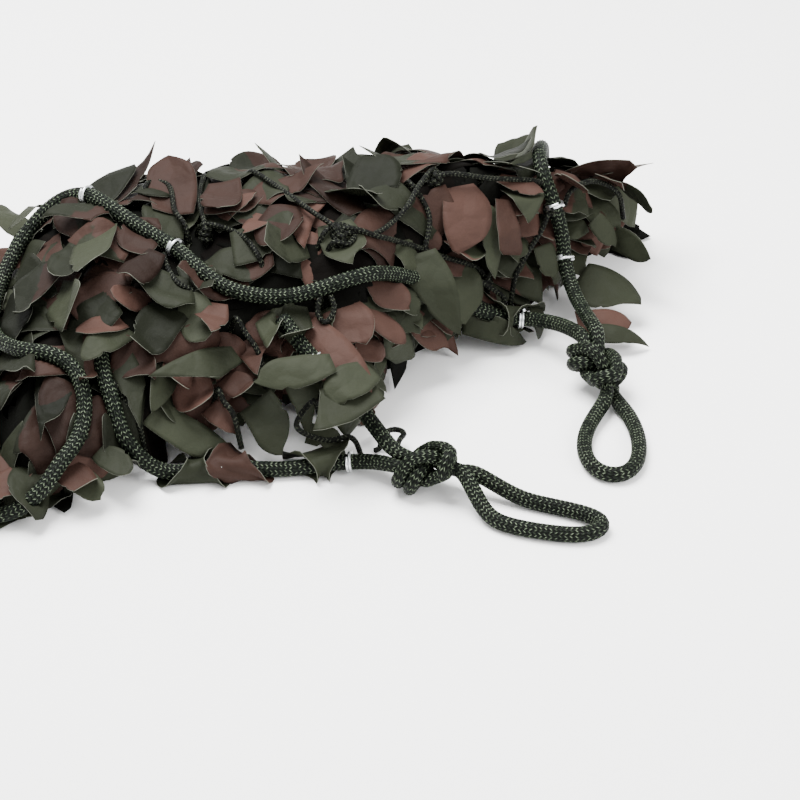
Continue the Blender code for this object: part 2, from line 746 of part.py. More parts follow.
def make_ring(name, line, near, wire, collection, material=None):
    """A ring round the rope, square to it."""
    place = np.linalg.norm(line[:, :2] - near, axis=1).argmin()
    place = min(max(place, 1), len(line) - 2)
    along = Vector(line[place + 1] - line[place - 1]).normalized()
    hole = (ROPE_THICK / 2 + GAP) / math.cos(math.pi / RING_SEGMENTS)
    bpy.ops.mesh.primitive_torus_add(
        major_segments=RING_SEGMENTS,
        minor_segments=4,
        major_radius=(hole + RING_WIRE / 2) * MM,
        minor_radius=wire / 2 * MM,
        location=world(line[place]),
        rotation=along.to_track_quat("Z", "Y").to_euler(),
    )
    ring = bpy.context.object
    ring.name = name
    for old in list(ring.users_collection):
        old.objects.unlink(ring)
    collection.objects.link(ring)
    if material:
        ring.data.materials.append(material)
    return ring


# ---------------------------------------------------------------- build

def eased(line, middle, steady):
    """The line with its bends eased, but for the knot itself."""
    line = line.copy()
    free = np.linalg.norm(line - middle, axis=1) > steady
    free[[0, -1]] = False
    inner = np.flatnonzero(free)
    for _ in range(EASING):
        line[inner] += 0.5 * ((line[inner - 1] + line[inner + 1]) / 2 - line[inner])
    line[:, 2] = np.maximum(line[:, 2], np.where(free, ROPE_THICK / 2 + OFF_FLOOR, 0))
    return line


def joined_at_knot(corner, strands):
    """One rope through a corner: in along one route, through the knot, round the loop, back."""
    x, y, heading, dip, roll, loop = KNOTS[corner]
    first, second = placed_knot(strands, x, y, heading, dip, roll)
    route_in, route_out = (np.array(ROUTES[name], float) for name in CORNERS[corner])
    straight = math.dist(route_in[-1], first[0]) + math.dist(route_out[-1], second[0])
    crossed = math.dist(route_in[-1], second[0]) + math.dist(route_out[-1], first[0])
    if crossed < straight:
        first, second = second, first
    loop = np.array(loop, float)
    if math.dist(first[-1], loop[-1]) < math.dist(first[-1], loop[0]):
        loop = loop[::-1]
    whole = np.vstack([route_in, first, loop, second[::-1], route_out[::-1]])
    middle = (first.mean(axis=0) + second.mean(axis=0)) / 2
    whole = eased(smooth_line(whole, FINE_SPACING), middle, STEADY_WITHIN)
    start = np.linalg.norm(whole - first[0], axis=1).argmin() - KNOT_PAST
    end = np.linalg.norm(whole - second[0], axis=1).argmin() + KNOT_PAST
    return whole, start, end


def rope_lines():
    """The centre line of each length of rope. The lengths meet end to end with a small gap."""
    strands = tied_knot()
    lines = {}
    for corner, (route_in, route_out) in CORNERS.items():
        whole, start, end = joined_at_knot(corner, strands)
        lines[f"corner_loop_{corner}"] = whole[start:end + 1]
        parts = (
            (route_in, whole[:start], whole[start]),
            (route_out, whole[:end:-1], whole[end]),
        )
        for route, line, loop_end in parts:
            last = loop_end + unit(line[-1] - loop_end) * BUTT_GAP
            first = line[0] + unit(line[1] - line[0]) * BUTT_GAP / 2
            lines[f"border_rope_{route}"] = np.vstack([first, line[1:-1], last])
    return lines


def main():
    clear_scene()
    net = make_collection("camouflage_net")
    guides = make_collection("guides")
    leaves = make_collection("leaves")
    cords = make_collection("cords")
    clearances = make_collection("clearances")
    net_clearances = make_collection("net_clearances")
    rope_material = make_material("braided_rope")
    steel = make_material("galvanised_steel")

    lines = rope_lines()
    for name, line in lines.items():
        looped = name.startswith("corner_loop")
        if looped:
            line = true_ends(resample(line, round(length_of(line) / LOOP_SPACING)), line)
            x, y = KNOTS[name.removeprefix("corner_loop_")][:2]
            away = np.linalg.norm(line - (x, y, ROPE_THICK * 1.5), axis=1)
            swell = np.interp(away, SQUEEZED_WITHIN, (SQUEEZE, 1))
        else:
            line = true_ends(resample(line, round(length_of(line) / ROPE_SPACING) + 1), line)
            swell = None
        lines[name] = line
        make_tube(name, line, ROPE_THICK, ROPE_SIDES, net, rope_material, swell)
        for group in (clearances, net_clearances):
            as_guide(make_tube(f"clear_{name}", line, ROPE_THICK + 2 * GAP, ROPE_SIDES, group))
    for number, (rope, *near) in enumerate(RINGS, 1):
        make_ring(f"ring_{number}", lines[rope], near, RING_WIRE, net, steel)
        for group in (clearances, net_clearances):
            as_guide(make_ring("clear_ring", lines[rope], near, RING_WIRE + 3 * GAP, group))

    make_cords("cord", CORD_THICK, cords)
    netting = cords.objects["cord_0"]
    cords.objects.unlink(netting)
    guides.objects.link(netting)
    boolean(netting, "UNION", cords)
    boolean(netting, "DIFFERENCE", net_clearances)
    finished(netting, "netting", make_material("netting_cord"), net, 0)
    remove_all(cords, net_clearances)
    make_cords("clear_cord", CORD_THICK + 3 * GAP, clearances)

    rows = [*LEAVES, *more_leaves()]
    roots = [(row[0], row[1], height(row[0], row[1])) for row in rows]
    sheet = make_sheet(roots, guides)
    as_guide(sheet)
    make_leaves(rows, sheet, leaves)
    boolean(sheet, "UNION", leaves)
    boolean(sheet, "DIFFERENCE", clearances)
    finished(sheet, "garnish", make_material("olive_cloth"), net, FLAT_WITHIN)
    remove_all(leaves, clearances, guides)


main()
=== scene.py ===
import math

import bpy
import numpy as np
from mathutils import Matrix, Vector
from mathutils.bvhtree import BVHTree
from mathutils.kdtree import KDTree

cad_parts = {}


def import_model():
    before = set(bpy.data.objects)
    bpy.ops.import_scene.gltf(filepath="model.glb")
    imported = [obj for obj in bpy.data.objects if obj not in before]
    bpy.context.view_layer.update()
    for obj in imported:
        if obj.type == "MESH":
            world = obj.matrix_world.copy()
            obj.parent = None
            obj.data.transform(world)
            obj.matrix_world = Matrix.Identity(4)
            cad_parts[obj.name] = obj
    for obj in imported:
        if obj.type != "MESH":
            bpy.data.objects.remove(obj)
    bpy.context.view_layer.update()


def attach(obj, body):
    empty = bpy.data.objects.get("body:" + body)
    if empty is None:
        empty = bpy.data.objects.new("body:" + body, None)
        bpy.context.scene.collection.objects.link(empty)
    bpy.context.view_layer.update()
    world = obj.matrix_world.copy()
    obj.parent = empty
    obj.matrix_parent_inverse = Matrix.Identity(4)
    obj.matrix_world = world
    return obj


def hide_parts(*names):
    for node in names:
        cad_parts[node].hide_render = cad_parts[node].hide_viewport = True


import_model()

# ---------------------------------------------------------------- border rope
# The net's edge is one 8 mm rope: 16 polyester strands braided over two and under two, dark
# green with a pale tracer that is also drawn as a painted highlight along the picks, with painted
# shade between them. At two corners it is doubled, tied in an overhand knot and left as a
# loop to peg down. Lengths are in millimetres and measured from the tables' own zero.

MM = 0.001
ORIGIN = np.array([-28.0, 90.5, 0.0])
ROPE_THICK = 7.7
SQUEEZE = 0.84  # the rope's thickness inside a knot, of its free thickness
FINE_SPACING = 1.0  # between the points of a rope's line
CURVE_STEPS = 12  # between two places of a route
OVER_FLOOR = 0.1  # the least height of a free rope's underside

# The routes of the rope's four stretches, each as x, y and height of its middle.

TOP_ROPE = (
    (-203, 6, 4), (-202, -8, 4), (-194, -32, 4), (-180, -49, 4), (-164, -54, 8),
    (-150, -48, 17),
    (-142, -36, 25), (-135, -25, 29), (-132, -15, 35), (-132, -5, 42), (-135, 4, 49),
    (-141, 11, 53), (-149, 14, 56), (-159, 16, 56), (-170, 24, 53), (-181, 40, 50),
    (-185, 62, 50), (-183, 84, 55), (-176, 104, 65), (-163, 118, 77), (-150, 122, 85),
    (-138, 117, 88), (-127, 106, 87), (-105, 89, 81), (-92, 80, 78), (-76, 62, 73),
    (-64, 54, 69), (-46, 50, 67), (-28, 50, 68), (-8, 56, 72), (6, 64, 72), (18, 76, 65),
    (27, 86, 57), (38, 96, 48), (48, 104, 37), (60, 107, 27), (75, 109, 19), (90, 114, 15),
    (106, 102, 19),
)
BACK_ROPE = (
    (-203, 6, 4), (-204, 20, 4), (-206, 60, 6.5), (-200, 120, 4),
    (-178, 182, 4), (-130, 222, 4), (-70, 236, 6.5), (0, 243, 4), (60, 245, 4), (88, 243, 7),
    (98, 238, 20), (101, 224, 46), (100, 204, 68), (98, 184, 81), (96, 166, 84),
    (98, 156, 79), (102, 151, 70), (106, 149, 58), (109, 146, 46), (110, 140, 35),
    (113, 130, 27), (117, 114, 24),
)
FRONT_ROPE = (
    (-126, 20, 53), (-124, 8, 47), (-119, -1, 38), (-116, -9, 29), (-111, -14, 21),
    (-105, -15, 13), (-98, -16, 7), (-88, -16, 5), (-77, -15, 6), (-66, -14, 6.5),
    (-54, -13, 6), (-34, -11, 4), (-14, -9, 6), (-3, -8, 6.5), (8, -10, 8),
)
SHORT_ROPE = (
    (-37, 42, 59), (-33, 37, 56), (-28, 30, 52), (-22, 25, 47), (-13, 20, 41), (-4, 15, 33),
    (3, 11, 25),
)
# Each corner: the knot's middle as x, y, then in degrees its heading, how far it dips towards
# the loop and its roll, and then the loop.
KNOTS = {
    "front": (37, -21, -30, 0, 245, (
        (82, -37, 4), (100, -44, 4), (114, -50, 4), (121, -58, 4), (112, -66, 4),
        (96, -65, 4), (78, -60, 4), (65, -52, 4),
    )),
    "side": (126, 67, -87, 25, 225, (
        (139, 36, 4), (142, 14, 4), (139, -7, 4), (130, -17, 4), (119, -12, 4),
        (114, 4, 4), (117, 26, 4),
    )),
}
ROUTES = {"front": FRONT_ROPE, "short": SHORT_ROPE, "back": BACK_ROPE, "top": TOP_ROPE}
CORNERS = {"front": ("short", "front"), "side": ("back", "top")}
EASING = 60  # rounds in which a line's bends are eased
KNOT_NODES = 90  # points along each of the knot's two lines
KNOT_SPAN = 2.05  # of the curve's own measure, to each side of its middle
KNOT_SIZE = 11.0  # scale of the loose knot that is then drawn tight
KNOT_BESIDE = 0.62  # half the distance between the two lines at first, of the rope's thickness
KNOT_REACH = 50.0  # half the length of rope that a knot is worked out on
KNOT_KEEP = 20.0  # half the length of it that is kept
KNOT_PAST = 10  # points of the line from the kept knot to the end of its piece
KNOT_ROUNDS = 640
KNOT_DRAWING = 0.5  # how far a point moves to the middle of its neighbours, in one round
KNOT_SETTLING = 0.06  # the same in the last tenth of the rounds
KNOT_HOLD = 0.15  # how far the lines close the gap between them, in one round
KNOT_LOOSE = 4  # how many points the lines may slip along each other
KNOT_PUSH = 1.3  # how far two stretches that are too close are pushed apart, of what they need
KNOT_PUSHES = 3  # in one round
KNOT_CLEAR = 1.05  # distance kept between two stretches, of the squeezed thickness
KNOT_APART = 1.5  # of that distance along one line, past which its own points are kept apart
KNOT_SETTLES = 0.9  # share of the rounds before the lines settle
KNOT_EVENED = 5  # rounds from one evening of the points' spacing to the next
KNOT_LIFT = 0.2  # of the knot's lowest point over the floor
KNOT_STEADY = 0.8  # share of the kept half length that is not eased
KNOT_SWELLS = (0.7, 1.15)  # shares of it between which the rope regains its thickness
KNOT_MIDDLE = 1.5  # height of the knot's middle, of the rope's thickness
HIDDEN_SIDES = 32  # round the rope behind the heap, and round every other one
SEEN_SIDES = 48


def world(points):
    """Millimetres from the tables' zero, as metres in the part's frame."""
    return (np.asarray(points, float) - ORIGIN) * MM


def unit(vector):
    return vector / np.linalg.norm(vector)


def length_of(points):
    return np.linalg.norm(np.diff(points, axis=0), axis=1).sum()


def resample(points, count):
    """The same line with its points evenly spaced."""
    steps = np.linalg.norm(np.diff(points, axis=0), axis=1)
    along = np.concatenate([[0], np.cumsum(steps)])
    places = np.linspace(0, along[-1], count)
    return np.stack([np.interp(places, along, points[:, k]) for k in range(3)], axis=1)


def smooth_line(points, spacing, lowest=ROPE_THICK / 2 + OVER_FLOOR):
    """A Catmull-Rom curve through the points, evenly spaced."""
    points = np.asarray(points, float)
    padded = np.vstack([2 * points[0] - points[1], points, 2 * points[-1] - points[-2]])
    line = []
    for a, b, c, d in zip(padded, padded[1:], padded[2:], padded[3:]):
        for t in np.linspace(0, 1, CURVE_STEPS, endpoint=False):
            line.append(0.5 * (2 * b + (c - a) * t + (2 * a - 5 * b + 4 * c - d) * t ** 2
                               + (3 * b - a - 3 * c + d) * t ** 3))
    line = np.array([*line, points[-1]])
    line[:, 2] = np.maximum(line[:, 2], lowest)
    return resample(line, max(3, round(length_of(line) / spacing) + 1))


def knot_start():
    """Two side-by-side lines through a loose overhand knot along X."""
    t = np.linspace(-KNOT_SPAN, KNOT_SPAN, 200)
    open_knot = KNOT_SIZE * np.stack([
        t ** 3 - 3 * t,
        0.9 * (t ** 4 - 4 * t ** 2 + 1.5),
        0.3 * (t ** 5 - 10 * t),
    ], axis=1)
    reach = KNOT_REACH + 5
    line = resample(np.vstack([[-reach, 0, 0], open_knot, [reach, 0, 0]]), KNOT_NODES)
    tangents = np.gradient(line, axis=0)
    tangents /= np.linalg.norm(tangents, axis=1, keepdims=True)
    side = np.array([0, 0.25, 1.0])
    sides = []
    for tangent in tangents:
        side = side - tangent * (side @ tangent)
        side /= np.linalg.norm(side)
        sides.append(side)
    beside = ROPE_THICK * KNOT_BESIDE
    offset = np.array(sides) * beside
    strands = np.stack([line + offset, line - offset])
    for strand, y in zip(strands, (beside, -beside)):
        strand[0] = (-KNOT_REACH, y, 0)
        strand[-1] = (KNOT_REACH, y, 0)
    return strands


def push_apart(points, first, second, distance):
    """Moves each pair of points that is too close to the given distance, half each."""
    between = points[second] - points[first]
    apart = np.linalg.norm(between, axis=1)
    close = apart < distance
    push = 0.5 * between[close] / apart[close, None] * (distance - apart[close, None])
    move = np.zeros_like(points)
    count = np.zeros((len(points), 1))
    for ends, direction in ((first[close], -1), (second[close], 1)):
        np.add.at(move, ends, push * direction)
        np.add.at(count, ends, 1)
    return points + KNOT_PUSH * move / np.maximum(count, 1)


def held_together(strands, distance):
    """Each line drawn to the nearest stretch of the other one, so that they lie side by side."""
    shifts = np.arange(-KNOT_LOOSE, KNOT_LOOSE + 1)
    beside = np.clip(np.arange(KNOT_NODES) + shifts[:, None], 0, KNOT_NODES - 1)
    for strand, other in ((0, 1), (1, 0)):
        between = strands[other][beside] - strands[strand]
        apart = np.linalg.norm(between, axis=2)
        nearest = apart.argmin(axis=0), np.arange(KNOT_NODES)
        gap = np.maximum(apart[nearest] - distance, 0) / apart[nearest]
        strands[strand, 1:-1] += KNOT_HOLD * (between[nearest] * gap[:, None])[1:-1]
    return strands


def tied_knot():
    """The knot drawn tight: both lines shorten while no two stretches come too close.

    It is left-handed, and the middle of its turns is at X = 0.
    """
    strands = knot_start()
    ends = strands[:, [0, -1]].copy()
    index = np.arange(2 * KNOT_NODES)
    strand_of = index // KNOT_NODES
    place = index % KNOT_NODES
    inner = index[(place > 0) & (place < KNOT_NODES - 1)]
    one, other = np.triu_indices(2 * KNOT_NODES, 1)
    distance = ROPE_THICK * SQUEEZE * KNOT_CLEAR
    for step in range(KNOT_ROUNDS):
        spacing = length_of(strands[0]) / (KNOT_NODES - 1)
        apart = np.abs(place[one] - place[other]) * spacing > KNOT_APART * distance
        pairs = (strand_of[one] != strand_of[other]) | apart
        points = strands.reshape(-1, 3).copy()
        drawing = KNOT_DRAWING if step < KNOT_SETTLES * KNOT_ROUNDS else KNOT_SETTLING
        middle = (points[inner - 1] + points[inner + 1]) / 2
        points[inner] += drawing * (middle - points[inner])
        points = held_together(points.reshape(strands.shape), distance).reshape(-1, 3)
        for _ in range(KNOT_PUSHES):
            points = push_apart(points, one[pairs], other[pairs], distance)
        strands = points.reshape(strands.shape)
        strands[:, [0, -1]] = ends
        if step % KNOT_EVENED == 0:
            strands = np.stack([resample(strand, KNOT_NODES) for strand in strands])
    across = strands[..., 1:]
    outside = np.linalg.norm(across - np.median(across, axis=(0, 1)), axis=2) > ROPE_THICK
    strands[..., 0] -= strands[outside, 0].mean()
    return strands * (1, -1, 1)


def placed_knot(strands, x, y, heading, dip, roll):
    """The kept middle of both strands, turned to its heading and set down on the floor."""
    turn = Matrix.Rotation(math.radians(heading), 3, "Z")
    down = Matrix.Rotation(math.radians(dip), 3, "Y")
    tip = Matrix.Rotation(math.radians(roll), 3, "X")
    matrix = np.array(turn @ down @ tip)
    kept = []
    for strand in strands:
        inside = np.flatnonzero(np.abs(strand[:, 0]) <= KNOT_KEEP)
        kept.append(strand[inside[0]:inside[-1] + 1] @ matrix.T)
    lowest = min(strand[:, 2].min() for strand in kept)
    lift = ROPE_THICK / 2 * SQUEEZE - lowest + KNOT_LIFT
    return [strand + (x, y, lift) for strand in kept]


def eased(line, middle, steady):
    """The line with its bends eased, but for the knot itself."""
    line = line.copy()
    free = np.linalg.norm(line - middle, axis=1) > steady
    free[[0, -1]] = False
    inner = np.flatnonzero(free)
    for _ in range(EASING):
        line[inner] += 0.5 * ((line[inner - 1] + line[inner + 1]) / 2 - line[inner])
    line[:, 2] = np.maximum(line[:, 2], np.where(free, ROPE_THICK / 2 + OVER_FLOOR, 0))
    return line


def joined_at_knot(corner, strands):
    """One rope through a corner: in along one route, through the knot, round the loop, back."""
    x, y, heading, dip, roll, loop = KNOTS[corner]
    first, second = placed_knot(strands, x, y, heading, dip, roll)
    route_in, route_out = (np.array(ROUTES[name], float) for name in CORNERS[corner])
    straight = math.dist(route_in[-1], first[0]) + math.dist(route_out[-1], second[0])
    crossed = math.dist(route_in[-1], second[0]) + math.dist(route_out[-1], first[0])
    if crossed < straight:
        first, second = second, first
    loop = np.array(loop, float)
    if math.dist(first[-1], loop[-1]) < math.dist(first[-1], loop[0]):
        loop = loop[::-1]
    whole = np.vstack([route_in, first, loop, second[::-1], route_out[::-1]])
    middle = (first.mean(axis=0) + second.mean(axis=0)) / 2
    whole = eased(smooth_line(whole, FINE_SPACING), middle, KNOT_KEEP * KNOT_STEADY)
    start = np.linalg.norm(whole - first[0], axis=1).argmin() - KNOT_PAST
    end = np.linalg.norm(whole - second[0], axis=1).argmin() + KNOT_PAST
    away = np.linalg.norm(whole - (x, y, ROPE_THICK * KNOT_MIDDLE), axis=1)
    swell = np.interp(away, [KNOT_KEEP * share for share in KNOT_SWELLS], (SQUEEZE, 1))
    return whole, swell, start, end


def linear(code):
    """An sRGB hex colour as linear red, green and blue, with alpha 1."""
    values = [int(code[k:k + 2], 16) / 255 for k in (1, 3, 5)]
    return (*(v / 12.92 if v <= 0.04045 else ((v + 0.055) / 1.055) ** 2.4 for v in values), 1)


def plug(tree, node, inputs):
    """Links each of the inputs to a socket, or sets it to a value."""
    for key, value in inputs.items():
        if isinstance(value, bpy.types.NodeSocket):
            tree.links.new(value, node.inputs[key])
        else:
            node.inputs[key].default_value = value


def add(tree, kind, inputs=None, **settings):
    """A node with its settings and its inputs."""
    node = tree.nodes.new(kind)
    for name, value in settings.items():
        setattr(node, name, value)
    plug(tree, node, inputs or {})
    return node


def new_material(name):
    """An empty material, with its tree and its shader."""
    material = bpy.data.materials.new(name)
    material.use_nodes = True
    return material, material.node_tree, material.node_tree.nodes["Principled BSDF"]


MIX_A, MIX_B, MIX_OUT = 6, 7, 2  # a Mix node's colour sockets, after its number and vector ones
LEAN = 0.62  # how far a pick runs along the rope while it crosses its column, in picks
PICK_ROUNDING = 0.6  # power that makes a pick's top flat and its sides steep
PICK_LEVEL = 0.7  # share of a pick's height at which the rope has its nominal thickness
TURN_JUMP = 0.2  # change of the way round, within a face, that shows it crosses the start


def picks_at(tree, across, along):
    """A place's column in the braid, its share of the way across it, and its picks along it."""
    column = add(tree, "ShaderNodeMath", {0: across}, operation="FLOOR").outputs[0]
    in_column = add(tree, "ShaderNodeMath", {0: across}, operation="FRACT").outputs[0]
    odd = add(tree, "ShaderNodeMath", {0: column, 1: 2.0}, operation="FLOORED_MODULO").outputs[0]
    way = add(tree, "ShaderNodeMath", {0: odd, 1: 2.0, 2: -1.0}, operation="MULTIPLY_ADD")
    leaned = add(tree, "ShaderNodeMath", {0: way.outputs[0], 1: in_column}, operation="MULTIPLY")
    shifted = add(tree, "ShaderNodeMath", {0: leaned.outputs[0], 1: LEAN, 2: along},
                  operation="MULTIPLY_ADD")
    staggered = add(tree, "ShaderNodeMath", {0: odd, 1: 0.5, 2: shifted.outputs[0]},
                    operation="MULTIPLY_ADD")
    return column, in_column, staggered.outputs[0]


# The braid, grown along a curve: a tube with one shallow bump for every pick. Picks lie in
# columns along the rope and lean left and right by turns, so they read as a herringbone.
braid = bpy.data.node_groups.new("braid", "GeometryNodeTree")
braid.interface.new_socket("Geometry", in_out="INPUT", socket_type="NodeSocketGeometry")
for name, kind, value in (
    ("Thickness", "NodeSocketFloat", ROPE_THICK * MM),
    ("Columns", "NodeSocketInt", 16),
    ("Sides", "NodeSocketInt", 48),
    ("Pick length", "NodeSocketFloat", 2.4 * MM),
    ("Relief", "NodeSocketFloat", 0.45 * MM),
    ("Step", "NodeSocketFloat", 0.6 * MM),
    ("Start", "NodeSocketFloat", 0.0),
    ("Material", "NodeSocketMaterial", None),
):
    socket = braid.interface.new_socket(name, in_out="INPUT", socket_type=kind)
    if value is not None:
        socket.default_value = value
braid.interface.new_socket("Geometry", in_out="OUTPUT", socket_type="NodeSocketGeometry")
given = add(braid, "NodeGroupInput").outputs
fine = add(braid, "GeometryNodeResampleCurve",
           {"Curve": given["Geometry"], "Length": given["Step"]}, mode="LENGTH")
travelled = add(braid, "ShaderNodeMath", {
    0: add(braid, "GeometryNodeSplineParameter").outputs["Length"],
    1: given["Start"],
}, operation="ADD")
marked = add(braid, "GeometryNodeStoreNamedAttribute", {
    "Geometry": fine.outputs[0], "Name": "along", "Value": travelled.outputs[0],
}, data_type="FLOAT")
radius = add(braid, "ShaderNodeMath", {0: given["Thickness"], 1: 0.5}, operation="MULTIPLY")
profile = add(braid, "GeometryNodeCurvePrimitiveCircle",
              {"Resolution": given["Sides"], "Radius": radius.outputs[0]})
round_it = add(braid, "GeometryNodeStoreNamedAttribute", {
    "Geometry": profile.outputs[0],
    "Name": "around",
    "Value": add(braid, "GeometryNodeSplineParameter").outputs["Factor"],
}, data_type="FLOAT")
tube = add(braid, "GeometryNodeCurveToMesh", {
    "Curve": marked.outputs[0],
    "Profile Curve": round_it.outputs[0],
    "Scale": add(braid, "GeometryNodeInputRadius").outputs[0],
    "Fill Caps": True,
})
along = add(braid, "GeometryNodeInputNamedAttribute", {"Name": "along"}, data_type="FLOAT")
around = add(braid, "GeometryNodeInputNamedAttribute", {"Name": "around"}, data_type="FLOAT")
across = add(braid, "ShaderNodeMath", {0: around.outputs[0], 1: given["Columns"]},
             operation="MULTIPLY")
pitch = add(braid, "ShaderNodeMath", {0: along.outputs[0], 1: given["Pick length"]},
            operation="DIVIDE")
_, in_column, staggered = picks_at(braid, across.outputs[0], pitch.outputs[0])
in_pick = add(braid, "ShaderNodeMath", {0: staggered}, operation="FRACT")
bumps = []
for place in (in_column, in_pick.outputs[0]):
    centred = add(braid, "ShaderNodeMath", {0: place, 1: 2.0, 2: -1.0},
                  operation="MULTIPLY_ADD")
    squared = add(braid, "ShaderNodeMath", {0: centred.outputs[0], 1: centred.outputs[0]},
                  operation="MULTIPLY")
    bumps.append(add(braid, "ShaderNodeMath", {0: 1.0, 1: squared.outputs[0]},
                     operation="SUBTRACT"))
bump = add(braid, "ShaderNodeMath", {0: bumps[0].outputs[0], 1: bumps[1].outputs[0]},
           operation="MULTIPLY")
lift = add(braid, "ShaderNodeMath", {0: bump.outputs[0], 1: PICK_ROUNDING}, operation="POWER")
height_off = add(braid, "ShaderNodeMath", {0: lift.outputs[0], 1: PICK_LEVEL},
                 operation="SUBTRACT")
raised = add(braid, "ShaderNodeMath", {0: height_off.outputs[0], 1: given["Relief"]},
             operation="MULTIPLY")
outwards = add(braid, "ShaderNodeVectorMath", {
    0: add(braid, "GeometryNodeInputNormal").outputs[0], "Scale": raised.outputs[0],
}, operation="SCALE")
# The map counts columns round the rope and picks along it, and closes where they start again.
face_middle = add(braid, "GeometryNodeFieldOnDomain", {0: around.outputs[0]},
                  data_type="FLOAT", domain="FACE")
behind = add(braid, "ShaderNodeMath", {0: face_middle.outputs[0], 1: around.outputs[0]},
             operation="SUBTRACT")
next_turn = add(braid, "ShaderNodeMath", {0: behind.outputs[0], 1: TURN_JUMP},
                operation="GREATER_THAN")
closed = add(braid, "ShaderNodeMath", {0: around.outputs[0], 1: next_turn.outputs[0]},
             operation="ADD")
columns_round = add(braid, "ShaderNodeMath", {0: closed.outputs[0], 1: given["Columns"]},
                    operation="MULTIPLY")
place_on = add(braid, "ShaderNodeCombineXYZ", {"X": columns_round.outputs[0],
                                               "Y": pitch.outputs[0]})
mapped = add(braid, "GeometryNodeStoreNamedAttribute", {
    "Geometry": tube.outputs[0], "Name": "braid_map", "Value": place_on.outputs[0],
}, data_type="FLOAT2", domain="CORNER")
bumped = add(braid, "GeometryNodeSetPosition",
             {"Geometry": mapped.outputs[0], "Offset": outwards.outputs[0]})
realised = add(braid, "GeometryNodeRealizeInstances", {"Geometry": bumped.outputs[0]})
finished = add(braid, "GeometryNodeSetMaterial",
               {"Geometry": realised.outputs[0], "Material": given["Material"]})
add(braid, "NodeGroupOutput", {"Geometry": finished.outputs[0]})


def braided(name, lines, settings, swell=None):
    """A plain mesh of the braid along one line or several."""
    curve = bpy.data.curves.new(name + "_line", "CURVE")
    curve.dimensions = "3D"
    for line in [lines] if isinstance(lines, np.ndarray) else lines:
        spline = curve.splines.new("POLY")
        spline.points.add(len(line) - 1)
        spline.points.foreach_set("co", np.column_stack([world(line), np.ones(len(line))]).ravel())
        spline.points.foreach_set("radius", np.ones(len(line)) if swell is None else swell)
    guide = bpy.data.objects.new(name + "_line", curve)
    scene.collection.objects.link(guide)
    modifier = guide.modifiers.new("braid", "NODES")
    modifier.node_group = braid
    for item in braid.interface.items_tree:
        if item.in_out == "INPUT" and item.name in settings:
            modifier[item.identifier] = settings[item.name]
    bpy.context.view_layer.update()
    graph = bpy.context.evaluated_depsgraph_get()
    mesh = bpy.data.meshes.new_from_object(guide.evaluated_get(graph))
    bpy.data.objects.remove(guide)
    bpy.data.curves.remove(curve)
    mesh.name = name
    mesh.shade_smooth()
    piece = bpy.data.objects.new(name, mesh)
    scene.collection.objects.link(piece)
    return piece


def braid_material(name, ground, strand, tracer_and_highlight, share):
    """Braided filament yarn: matt, drawn black between the picks as painted shade, with a pale
    thread in many of them.

    Share is how many picks show the pale thread, which lies along the middle of its pick and
    also serves as a painted highlight on its ridge. The thread is drawn wider than a real one,
    which would be too fine to show.
    """
    material, tree, shader = new_material(name)
    place = add(tree, "ShaderNodeAttribute", attribute_name="braid_map").outputs["Vector"]
    parts = add(tree, "ShaderNodeSeparateXYZ", {0: place}).outputs
    column, in_column, staggered = picks_at(tree, parts["X"], parts["Y"])
    in_pick = add(tree, "ShaderNodeMath", {0: staggered}, operation="FRACT")
    centred = add(tree, "ShaderNodeMath", {0: in_pick.outputs[0], 1: 0.5}, operation="SUBTRACT")
    off_middle = add(tree, "ShaderNodeMath", {0: centred.outputs[0]}, operation="ABSOLUTE")
    sideways = add(tree, "ShaderNodeMath", {0: in_column, 1: 2.0, 2: -1.0},
                   operation="MULTIPLY_ADD")
    off_side = add(tree, "ShaderNodeMath", {0: sideways.outputs[0]}, operation="ABSOLUTE")
    cell = add(tree, "ShaderNodeCombineXYZ", {
        "X": column,
        "Y": add(tree, "ShaderNodeMath", {0: staggered}, operation="FLOOR").outputs[0],
    })
    chance = add(tree, "ShaderNodeTexWhiteNoise", {"Vector": cell.outputs[0]},
                 noise_dimensions="3D")
    shares = {}  # each with where it is nothing and where it is full, in picks or half columns
    for key, value, low, high in (
        ("pick", off_middle, 0.5, 0.22), ("pick side", off_side, 1.0, 0.65),
        ("thread", off_middle, 0.16, 0.07), ("thread side", off_side, 0.85, 0.45),
        ("shown", chance, 0.6 - share, 1.4 - share),
    ):
        shares[key] = add(tree, "ShaderNodeMapRange", {
            "Value": value.outputs[0], "From Min": low, "From Max": high,
        }, interpolation_type="SMOOTHSTEP").outputs[0]
    inside = add(tree, "ShaderNodeMath", {0: shares["pick"], 1: shares["pick side"]},
                 operation="MULTIPLY").outputs[0]
    thread = add(tree, "ShaderNodeMath", {0: shares["thread"], 1: shares["thread side"]},
                 operation="MULTIPLY").outputs[0]
    # The pale thread along each pick's middle is also a painted highlight on its ridge.
    pale = add(tree, "ShaderNodeMath", {0: thread, 1: shares["shown"]},
               operation="MULTIPLY").outputs[0]
    # Between the picks the yarn is drawn black: painted shade.
    yarn = add(tree, "ShaderNodeMix",
               {"Factor": inside, MIX_A: linear(ground), MIX_B: linear(strand)},
               data_type="RGBA")
    colour = add(tree, "ShaderNodeMix",
                 {"Factor": pale, MIX_A: yarn.outputs[MIX_OUT], MIX_B: linear(tracer_and_highlight)},
                 data_type="RGBA")
    relief = add(tree, "ShaderNodeBump", {
        "Height": inside, "Strength": 0.6, "Distance": 0.4 * MM,
    })
    plug(tree, shader, {
        "Base Color": colour.outputs[MIX_OUT], "Normal": relief.outputs[0],
        "Roughness": 0.5, "Specular IOR Level": 0.07,
    })
    return material


